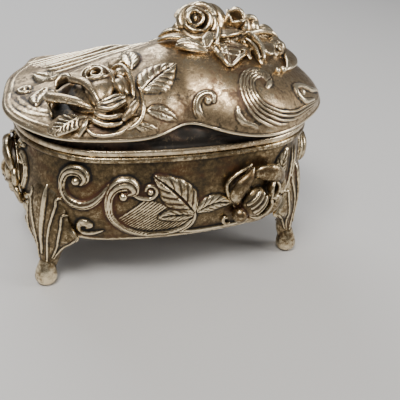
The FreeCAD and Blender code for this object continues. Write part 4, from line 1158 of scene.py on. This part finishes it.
def make_leg(name, side_x, side_y):
    """A scroll leg on a round foot, in ridges that spread up the corner of the box."""
    corner = ARCS[3][0] if side_x * side_y > 0 else ARCS[1][0]
    centre = np.array([abs(corner[0]) * side_x, abs(corner[1]) * side_y])
    turn = math.atan2(math.sin(LEG_TURN) * side_y, math.cos(LEG_TURN) * side_x)
    mirror = side_x * side_y

    def place(round_corner, z, out):
        angle = turn + mirror * np.asarray(round_corner) / CORNER_RADIUS
        radius = CORNER_RADIUS + out
        return np.stack([centre[0] + radius * np.cos(angle), centre[1] + radius * np.sin(angle),
                         np.broadcast_to(z, angle.shape)], -1)

    leg = Casting()
    levels = curve_through(LEG_LEVELS, 70)
    rings = []
    loop = np.arange(44) * TAU / 44
    for z, half_width, outer, half_depth in levels:
        across = np.cos(loop) * half_width
        share = np.abs(np.cos(loop))
        bulge = np.sign(np.sin(loop)) * np.sqrt(1 - share ** 2.6)
        sink = half_depth * 0.9 * share ** 2 * smooth((30 - z) / 20)
        rings.append(place(across, z, outer - half_depth - sink + half_depth * bulge))
    leg.add(rings)
    # The foot swells out of the leg like a drop.
    foot = curve_through(FOOT_PROFILE, 40)
    rings = []
    for z, radius, out in foot:
        middle = place(np.array(0.0), z, np.array(out))
        rings.append(middle + radius * np.stack([np.cos(loop), np.sin(loop), 0 * loop], -1))
    leg.add(rings)
    item = leg.finish(name, cell=0.36)
    points = mesh_points(item)
    points[:, 2] = np.maximum(points[:, 2], 0.0)
    move_points(item, points)

    def marks(relief):
        for number, (line, rise) in enumerate(LEG_RIDGES):
            for way in ((1, -1) if number else (1,)):
                u, z, widths = curve_through(line, 120).T
                out = np.interp(z, levels[:, 0], levels[:, 2])
                out = out - 1.6 * (u / np.interp(z, levels[:, 0], levels[:, 1])) ** 2
                taper = np.clip(widths / widths.max(), 0, 1) ** 0.6
                relief.stroke(place(u * way, z, out), np.maximum(widths, 0.15), rise * taper)
    return engrave(item, marks)


# --- Lining: puffed silk, sewn pads and twisted cord ------------------------------------------

SIM_SCALE = 10.0         # the cloth solver is steadier on a pad ten times the real size
SIM_FRAMES = 20
PUFF_LIMIT = 1.6         # how far the cloth may move from its flat case
BUTTONS = tuple((x * 0.95, y * 0.95) for x, y in (
    (0, 0), (26, 12.5), (-26, 12.5), (26, -12.5), (-26, -12.5), (44, 0), (-44, 0)))
BUTTON_REACH = 2.4


def inflate(pad, pins):
    """Blow a pad up by cloth simulation, held at its pinned points."""
    pad.vertex_groups.new(name="held").add(np.nonzero(pins)[0].tolist(), 1.0, "REPLACE")
    cloth = pad.modifiers.new("cloth", "CLOTH")
    settings = cloth.settings
    settings.quality = 6
    settings.mass = 0.25
    settings.tension_stiffness = settings.compression_stiffness = 12
    settings.bending_stiffness = 0.6
    settings.use_pressure = True
    settings.uniform_pressure_force = 5.0
    settings.vertex_group_mass = "held"
    settings.effector_weights.gravity = 0.0
    cloth.point_cache.frame_start, cloth.point_cache.frame_end = 1, SIM_FRAMES
    for step in range(1, SIM_FRAMES + 1):
        bpy.context.scene.frame_set(step)
    bake(pad)
    pad.vertex_groups.clear()
    bpy.context.scene.frame_set(1)


def make_pad(name, offset, low, high, face_up=True):
    """A buttoned silk pad: a flat case, blown up by cloth simulation between its seams."""
    columns, rows = 150, 26
    rim = plan(np.arange(columns) * PERIMETER / columns, offset)[0]
    thickness = high - low
    shares = np.linspace(1, 0.02, rows)
    rings = []
    for side, order in ((1, shares[::-1]), (-1, shares[1:])):
        for share in order:
            rise = thickness * (0.5 + side * 0.5 * (1 - share ** 10) ** 0.5)
            rings.append(np.column_stack([rim * share, np.full(columns, rise)]))
    points = np.vstack(rings)
    points = np.vstack([points, [[0, 0, points[0, 2]], [0, 0, points[-1, 2]]]])
    faces = ring_faces(len(rings), columns)
    last, top = (len(rings) - 1) * columns, len(points) - 2
    for column in range(columns):
        after = (column + 1) % columns
        faces += [(column, after, top), (last + column, last + after, top + 1)]
    pins = np.zeros(len(points))
    for x, y in BUTTONS:
        away = np.hypot(points[:, 0] - x, points[:, 1] - y)
        held = (points[:, 2] > thickness * 0.5) & (away < BUTTON_REACH)
        points[held, 2] = thickness * 0.25
        pins[held] = 1
    pins[np.hypot(*(points[:, :2] / np.abs(rim).max(0)).T) > 0.985] = 1
    pins[points[:, 2] < thickness * 0.2] = 1
    pad = make_mesh(name, points * SIM_SCALE, faces)
    rest = mesh_points(pad)
    inflate(pad, pins)
    moved = mesh_points(pad) - rest
    length = np.linalg.norm(moved, axis=1, keepdims=True)
    moved *= np.minimum(1, PUFF_LIMIT * SIM_SCALE / np.maximum(length, 1e-6))
    points = (rest + moved) / SIM_SCALE
    points[:, 2] = np.clip(points[:, 2], 0, None)
    points[:, 2] = low + points[:, 2] if face_up else high - points[:, 2]
    move_points(pad, points)
    face_outwards(pad)
    return pad


def make_pad_piping(name, offset, z, radius):
    """A round piping along a pad's seam."""
    runs = np.arange(360) * PERIMETER / 360
    turns = np.arange(10) * TAU / 10
    return make_tube(name, [ring(runs, offset + radius * math.cos(turn),
                                 z + radius * math.sin(turn)) for turn in turns])


def make_buttons(name, z):
    """Small covered buttons that hold a pad down."""
    caps = Casting()
    for x, y in BUTTONS:
        caps.ball((x, y, z), (1.9, 1.9, 0.9), rows=12, columns=20)
    return caps.solid(name)


def make_wall_lining():
    """Silk gathered into upright folds, nipped in at its top and bottom."""
    columns, rows, folds = 1000, 34, 112
    low, high = 27.6, 61.3
    front, back = -7.6, -6.3
    runs = np.arange(columns) * PERIMETER / columns
    phase = runs / PERIMETER * TAU
    rings = []
    for share in np.linspace(0, 1, rows):
        nip = 1 - abs(2 * share - 1) ** 5
        sway = 0.55 * np.sin(phase * 9 + 4.1 * share) + 0.4 * np.sin(phase * 23 - 2.7 * share)
        fold = 0.5 + 0.5 * np.cos(phase * folds + sway)
        puff = 0.7 * nip + 0.85 * fold ** 0.8 * (0.55 + 0.45 * nip)
        puff += 0.16 * np.sin(phase * 37 + 9 * share) * nip
        rings.append(ring(runs, front - puff, low + (high - low) * share))
    rings += [ring(runs, back, z) for z in (high, (low + high) / 2, low)]
    return make_tube("wall_silk", rings)


def make_twisted_cord(name, offset, z, radius, twists):
    """Two strands laid round each other, along the oval."""
    count, around = 1500, 8
    runs = np.arange(count) * PERIMETER / count
    base, normal = plan(runs, 0.0)
    points, faces = [], []
    for strand in range(2):
        lay_turn = np.arange(count) * TAU * twists / count + strand * math.pi
        for turn in np.arange(around) * TAU / around:
            reach = offset + radius * (0.5 * np.cos(lay_turn) + 0.55 * math.cos(turn))
            rise = z + radius * (0.5 * np.sin(lay_turn) + 0.55 * math.sin(turn))
            points.append(np.column_stack([base + normal * reach[:, None], rise]))
        faces += ring_faces(around, count, first=strand * count * around, closed=True)
    return make_mesh(name, np.vstack(points), faces)


# --- Materials --------------------------------------------------------------------------------

class Nodes:
    """Short forms for building a material's nodes."""

    def __init__(self, name):
        self.material = bpy.data.materials.new(name)
        self.material.use_nodes = True
        self.tree = self.material.node_tree
        self.shader = self.tree.nodes["Principled BSDF"]
        self.coordinates = self.tree.nodes.new("ShaderNodeTexCoord").outputs["Object"]

    def link(self, source, target):
        """Link a socket, or set a number, vector or colour on the target itself."""
        if isinstance(source, (int, float)):
            target.default_value = source
        elif isinstance(source, tuple):
            target.default_value = source + (1,) * (len(target.default_value) - len(source))
        else:
            self.tree.links.new(source, target)

    def add(self, kind, output, inputs, **settings):
        """The output of a new node, from its inputs by name or number and its settings."""
        node = self.tree.nodes.new("ShaderNode" + kind)
        for name, value in settings.items():
            setattr(node, name, value)
        for socket, source in inputs.items():
            self.link(source, node.inputs[socket])
        return node.outputs[output]

    def noise(self, scale, detail=4.0, roughness=0.55, stretch=None, distortion=0.0):
        place = self.coordinates
        if stretch is not None:
            place = self.add("Mapping", "Vector", {"Vector": place, "Scale": stretch})
        return self.add("TexNoise", "Fac", {"Scale": scale, "Detail": detail, "Vector": place,
                                            "Roughness": roughness, "Distortion": distortion})

    def math(self, operation, a, b=0.0, c=0.0):
        return self.add("Math", 0, {0: a, 1: b, 2: c}, operation=operation)

    def span(self, value, low, high, to_low=0.0, to_high=1.0):
        return self.add("MapRange", "Result", {0: value, 1: low, 2: high, 3: to_low, 4: to_high},
                        interpolation_type="SMOOTHSTEP")

    def ramp(self, value, stops):
        output = self.add("ValToRGB", "Color", {"Fac": value})
        elements = output.node.color_ramp.elements
        for _ in stops[2:]:
            elements.new(0.5)
        for element, (place, colour) in zip(elements, stops):
            element.position = place
            element.color = (*colour, 1)
        return output

    def mix(self, share, a, b):
        return self.add("Mix", "Result", {"Factor": share, "A": a, "B": b}, data_type="RGBA")

    def wear_and_shade(self):
        return self.add("Attribute", "Fac", {}, attribute_name="wear_and_shade")

    def bump(self, height, strength, distance):
        return self.add("Bump", "Normal", {"Strength": strength, "Distance": distance,
                                           "Height": height})

    def finish(self, colour, roughness, normal, metallic=0.0):
        for name, source in (("Base Color", colour), ("Roughness", roughness),
                             ("Metallic", metallic), ("Normal", normal)):
            self.link(source, self.shader.inputs[name])
        return self.material


def tarnished_plate_with_shade(name, pale, middle, deep, patina, spread=0.0, spots=0.0):
    """Worn plate over dark metal, with light painted in: bright where it is rubbed and as painted
    highlight on the ridges, near black as tarnish and painted shade in the recesses.

    spread moves the whole surface towards bright or dark, and spots is how much of the
    ground has lost its plate.
    """
    nodes = Nodes(name)
    clouds = nodes.noise(75, 5, 0.6)
    mottle = nodes.noise(620, 5, 0.7)
    grain = nodes.noise(3600, 3, 0.6)
    level = nodes.math("MULTIPLY_ADD", nodes.span(clouds, 0.34, 0.66), 0.22, nodes.wear_and_shade())
    level = nodes.math("MULTIPLY_ADD", nodes.span(mottle, 0.36, 0.64), 0.22, level)
    level = nodes.math("MULTIPLY_ADD", nodes.span(grain, 0.36, 0.64), 0.12, level)
    level = nodes.math("ADD", level, spread - 0.28)
    lost = nodes.span(nodes.noise(210, 8, 0.78, distortion=0.4), 0.60 - spots, 0.66 - spots)
    kept = nodes.span(nodes.wear_and_shade(), 0.62, 0.85)
    lost = nodes.math("MULTIPLY", lost, nodes.math("SUBTRACT", 1.0, kept))
    level = nodes.math("MULTIPLY_ADD", lost, -0.22, level)
    # The ramp paints shade: near black in the recesses over real tarnish, pale on the rubbed and
    # highlighted ridges.
    colour = nodes.ramp(level, ((0.08, deep), (0.34, tuple(0.45 * c for c in middle)),
                                (0.56, middle), (0.86, pale)))
    stain = nodes.span(nodes.noise(48, 4, 0.6, stretch=(1, 1, 1.6)), 0.48, 0.66)
    stain = nodes.math("MULTIPLY", stain, nodes.span(level, 0.62, 0.30))
    colour = nodes.mix(nodes.math("MULTIPLY", stain, 0.6), colour, patina)
    roughness = nodes.span(level, 0.15, 0.85, 0.50, 0.20)
    metallic = nodes.span(level, 0.05, 0.45, 0.55, 1.0)
    height = nodes.math("MULTIPLY_ADD", mottle, 0.7, nodes.math("MULTIPLY", grain, 0.5))
    height = nodes.math("MULTIPLY_ADD", lost, -0.35, height)
    normal = nodes.bump(height, 0.55, 0.00012)
    return nodes.finish(colour, roughness, normal, metallic)


def silk(name, colour, shade):
    """Faded satin: a fine weave, soft streaks and a sheen."""
    nodes = Nodes(name)
    tone = nodes.math("MULTIPLY_ADD", nodes.noise(60, 4, 0.6), 0.6,
                      nodes.math("MULTIPLY", nodes.noise(380, 3, 0.6, stretch=(1, 1, 0.2)), 0.4))
    colour = nodes.ramp(tone, ((0.30, shade), (0.68, colour)))
    warp = nodes.noise(2600, 2, 0.5, stretch=(1, 1, 0.12))
    weft = nodes.noise(2600, 2, 0.5, stretch=(0.15, 0.15, 1))
    weave = nodes.math("ADD", warp, weft)
    normal = nodes.bump(weave, 0.35, 0.00008)
    roughness = nodes.span(tone, 0.3, 0.7, 0.52, 0.36)
    nodes.shader.inputs["Sheen Weight"].default_value = 0.5
    nodes.shader.inputs["Sheen Roughness"].default_value = 0.35
    return nodes.finish(colour, roughness, normal)


def pressed_card(name):
    """Brown card with its fibres mostly one way."""
    nodes = Nodes(name)
    fibre = nodes.noise(900, 5, 0.7, stretch=(0.4, 1, 1))
    colour = nodes.ramp(fibre, ((0.3, (0.36, 0.27, 0.17)), (0.7, (0.52, 0.41, 0.27))))
    return nodes.finish(colour, 0.85, nodes.bump(fibre, 0.5, 0.0001))


def base_metal(name):
    """Thin sheet, dull and brushed one way, with dark staining."""
    nodes = Nodes(name)
    streaks = nodes.noise(500, 4, 0.6, stretch=(0.06, 1, 1))
    stains = nodes.noise(60, 6, 0.65)
    level = nodes.math("MULTIPLY_ADD", streaks, 0.45, nodes.math("MULTIPLY", stains, 0.6))
    colour = nodes.ramp(level, ((0.30, (0.045, 0.036, 0.028)), (0.52, (0.17, 0.14, 0.11)),
                                (0.72, (0.38, 0.33, 0.26))))
    roughness = nodes.span(level, 0.3, 0.7, 0.62, 0.38)
    return nodes.finish(colour, roughness, nodes.bump(streaks, 0.25, 0.00005), 1.0)


def hinge_steel(name):
    """Worn hinge metal with dark grime."""
    nodes = Nodes(name)
    streaks = nodes.noise(1400, 3, 0.6, stretch=(1, 0.1, 0.1))
    grime = nodes.noise(260, 6, 0.7)
    level = nodes.math("MULTIPLY_ADD", streaks, 0.35, nodes.math("MULTIPLY", grime, 0.7))
    colour = nodes.ramp(level, ((0.30, (0.035, 0.026, 0.018)), (0.50, (0.27, 0.21, 0.15)),
                                (0.68, (0.66, 0.57, 0.44))))
    roughness = nodes.span(level, 0.3, 0.7, 0.58, 0.30)
    return nodes.finish(colour, roughness, nodes.bump(level, 0.35, 0.00006), 1.0)


# --- How worn the metal is, and where shade is painted on it, by place ------------------------

BEAD_WEAR_AND_SHADE = 0.72         # the beads at the rim get less rubbed brightness and painted highlight than the relief
LID_BEAD_TOP = 66.7
# Hollows between the left rose's petals, painted dark as shade: middle and reach, along x and y.
ROSE_SHADED_HOLLOWS = ((-43.4, -19.4, 4.6, 4.8), (-44.0, -29.4, 6.6, 5.4), (-32.5, -41.6, 6.6, 1.8))


def above_smooth_lid(points):
    return points[:, 2] - lid_height(points[:, 0], points[:, 1])


def shade_body(points, wear_and_shade):
    return np.where(points[:, 2] > BEAD_LOW, BEAD_WEAR_AND_SHADE * wear_and_shade, wear_and_shade)


def shade_hollows(points, wear_and_shade):
    """The hollows between the left rose's petals are painted dark as shade."""
    above = above_smooth_lid(points)
    for x, y, reach_x, reach_y in ROSE_SHADED_HOLLOWS:
        away = np.hypot((points[:, 0] - x) / reach_x, (points[:, 1] - y) / reach_y)
        # Points near the lid inside each hollow lose most of their brightness: painted shade.
        wear_and_shade = wear_and_shade * (1 - 0.85 * smooth((1.35 - away) / 0.5) * smooth((3.4 - above) / 1.2)
                       * smooth((above + 1) / 0.5))
    return wear_and_shade


def shade_lid(points, wear_and_shade):
    """The cove under the lid's edge is painted dark as the shade under the overhang; the bead
    below it is a little brighter.
    """
    # below marks the cove under the lid's smooth surface, where shade is painted.
    below = smooth((-1.0 - above_smooth_lid(points)) / 0.5)
    bead = points[:, 2] < LID_BEAD_TOP
    return shade_hollows(points, np.where(bead, BEAD_WEAR_AND_SHADE * wear_and_shade, wear_and_shade * (1 - 0.88 * below)))


def shade_rubbed(points, wear_and_shade):
    """High forms are rubbed bright, the feet most of all."""
    feet = 0.16 * smooth((13 - points[:, 2]) / 8)
    return np.clip(wear_and_shade + 0.07 + feet, 0, 1)


# --- The pieces -------------------------------------------------------------------------------

def paint(item, material):
    """Give an object one material, whatever slots it had."""
    item.data.materials.clear()
    item.data.materials.append(material)


def dress(item, body_name, slot, material, *nodes):
    """Finish a piece: material, body and the CAD nodes that it stands for. The slot is not used.
    """
    paint(item, material)
    if nodes:
        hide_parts(*nodes)
    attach(item, body_name)
    return item


def cast(item, body_name, *nodes, shade=shade_rubbed):
    """Finish a metal piece, after marking where it is worn and where shade and highlight are
    painted.
    """
    mark_wear_and_shade(item, shade)
    slot, material = PLATES[body_name]
    dress(item, body_name, slot, material, *nodes)


def trim(item, body_name, *nodes):
    """Finish a piece of cord, piping or covered buttons."""
    dress(item, body_name, "trim", cord_silk, *nodes)


# The body's plate is the lid's metal made darker: painted shade and dark reflection on the upright
# walls.
shaded_body_plate = tarnished_plate_with_shade("shaded_body_plate", (0.92, 0.77, 0.51), (0.19, 0.135, 0.07),
                             (0.008, 0.006, 0.004), (0.12, 0.045, 0.020), spread=-0.11)
lid_plate = tarnished_plate_with_shade("lid_plate", (0.95, 0.80, 0.55), (0.44, 0.32, 0.185),
                            (0.012, 0.009, 0.006), (0.15, 0.08, 0.045), spread=-0.02, spots=0.07)
PLATES = {"casket": ("plate_body", shaded_body_plate), "lid": ("plate_lid", lid_plate)}
ivory_silk = silk("ivory_silk", (0.74, 0.60, 0.50), (0.50, 0.37, 0.30))
cord_silk = silk("cord_silk", (0.66, 0.50, 0.34), (0.36, 0.25, 0.16))

cast(make_body_shell(), "casket", "body_shell", shade=shade_body)
cast(make_lid_shell(), "lid", "lid_shell", shade=shade_lid)
cast(make_left_rose(), "lid", "lid_rose_left", shade=shade_hollows)
cast(make_crest_rose(), "lid", "lid_rose_crest")
cast(make_crest_spray(), "lid", "lid_crest_spray")
BUD_Z = 42.0
FRONT_BUD_RUN = run_at(31.0, BUD_Z)
for where, run, height in (("front", FRONT_BUD_RUN, BUD_Z),
                           ("back", FRONT_BUD_RUN + PERIMETER / 2, BUD_Z),
                           ("left", -END_RUN, 40.0), ("right", END_RUN, 40.0)):
    cast(make_bud("rosebud_" + where, run, height), "casket", "bud_" + where)
for where, side_y in (("front", -1), ("rear", 1)):
    for hand, side_x in (("left", -1), ("right", 1)):
        leg = make_leg("scroll_leg_%s_%s" % (where, hand), side_x, side_y)
        cast(leg, "casket", "leg_%s_%s" % (where, hand))

FLOOR_PAD_OFFSET, LID_PAD_OFFSET = -10.4, -7.8
CORD_RADIUS = 0.98
floor_low, floor_high = (corner[2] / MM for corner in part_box("floor_pad"))
lid_low, lid_high = (corner[2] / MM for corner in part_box("lid_pad"))
floor_pad = make_pad("floor_cushion", FLOOR_PAD_OFFSET, floor_low, floor_high)
dress(floor_pad, "casket", "silk", ivory_silk, "floor_pad")
lid_pad = make_pad("lid_cushion", LID_PAD_OFFSET, lid_low, lid_high, face_up=False)
dress(lid_pad, "lid", "silk", ivory_silk, "lid_pad")
trim(make_pad_piping("floor_cushion_piping", FLOOR_PAD_OFFSET + 0.3, floor_low + 2.4, 0.7),
     "casket")
trim(make_buttons("floor_cushion_buttons", floor_low + 2.0), "casket")
trim(make_buttons("lid_cushion_buttons", lid_high - 1.4), "lid")
wall_silk = dress(make_wall_lining(), "casket", "silk", ivory_silk, "wall_lining")
trim(make_twisted_cord("body_cord", -6.6, 62.4, CORD_RADIUS, 130), "casket", "body_trim_cord")
trim(make_twisted_cord("lid_cord", -5.4, 66.0, CORD_RADIUS, 132), "lid", "lid_trim_cord")

# The CAD nodes that are carried over as they are.
for material, names in ((pressed_card("pressed_card"), ("floor_board", "wall_board", "lid_board")),
                        (base_metal("base_sheet_metal"), ("base_plate",)),
                        (hinge_steel("hinge_metal"), ("hinge_lower_leaf", "hinge_upper_leaf",
                                                      "hinge_pin", "hinge_rivets_lower",
                                                      "hinge_rivets_upper"))):
    for name in names:
        paint(frame["nodes"][name], material)


# --- Camera, light and floor ------------------------------------------------------------------

# The camera turns about its target: its place and lens, found by matching the photo.
TURN, RISE, ROLL = (math.radians(angle) for angle in (-21.3, 31.81, 5.27))
DISTANCE = 302.89
TARGET = np.array([21.46, 0, 13.7])
LENS, SENSOR = 55.8, 36
BOX_MIDDLE = Vector((0, 0, 0.05))        # what the lights face, in metres
FLOOR_REACH = 1500


def make_camera():
    back = np.array([math.sin(TURN) * math.cos(RISE), -math.cos(TURN) * math.cos(RISE),
                     math.sin(RISE)])
    right = unit(np.cross([0, 0, 1], back))
    up = np.cross(back, right)
    across = math.cos(ROLL) * right + math.sin(ROLL) * up
    over = -math.sin(ROLL) * right + math.cos(ROLL) * up
    camera = bpy.data.objects.new("camera", bpy.data.cameras.new("camera"))
    camera.data.lens, camera.data.sensor_width = LENS, SENSOR
    camera.data.clip_start, camera.data.clip_end = 0.01, 10
    place = Matrix(np.stack([across, over, back], 1).tolist()).to_4x4()
    place.translation = Vector((TARGET + back * DISTANCE) * MM)
    camera.matrix_world = place
    bpy.context.scene.collection.objects.link(camera)
    bpy.context.scene.camera = camera


def add_softbox(name, place, size, power, colour):
    light = bpy.data.lights.new(name, "AREA")
    light.shape = "RECTANGLE"
    light.size, light.size_y = size
    light.energy = power
    light.color = colour
    item = bpy.data.objects.new(name, light)
    item.location = place
    item.rotation_mode = "QUATERNION"
    item.rotation_quaternion = (BOX_MIDDLE - Vector(place)).to_track_quat("-Z", "Y")
    bpy.context.scene.collection.objects.link(item)


def make_studio():
    corners = [(x * FLOOR_REACH, y * FLOOR_REACH, 0)
               for x, y in ((-1, -1), (1, -1), (1, 1), (-1, 1))]
    floor = make_mesh("floor", corners, [(0, 1, 2, 3)], solid=False)
    material = bpy.data.materials.new("floor")
    material.use_nodes = True
    shader = material.node_tree.nodes["Principled BSDF"]
    shader.inputs["Base Color"].default_value = (0.56, 0.55, 0.54, 1)
    shader.inputs["Roughness"].default_value = 0.7
    floor.data.materials.append(material)
    world = bpy.data.worlds.new("studio")
    world.use_nodes = True
    world.node_tree.nodes["Background"].inputs["Color"].default_value = (0.8, 0.82, 0.86, 1)
    world.node_tree.nodes["Background"].inputs["Strength"].default_value = 0.26
    bpy.context.scene.world = world
    add_softbox("key_light", (-0.25, -0.35, 0.75), (0.35, 0.25), 7.5, (1, 0.97, 0.92))
    add_softbox("side_light", (0.6, -0.25, 0.35), (0.25, 0.4), 3.0, (1, 0.98, 0.95))
    add_softbox("rear_light", (-0.1, 0.6, 0.5), (0.5, 0.25), 3.5, (0.93, 0.96, 1))


make_camera()
make_studio()
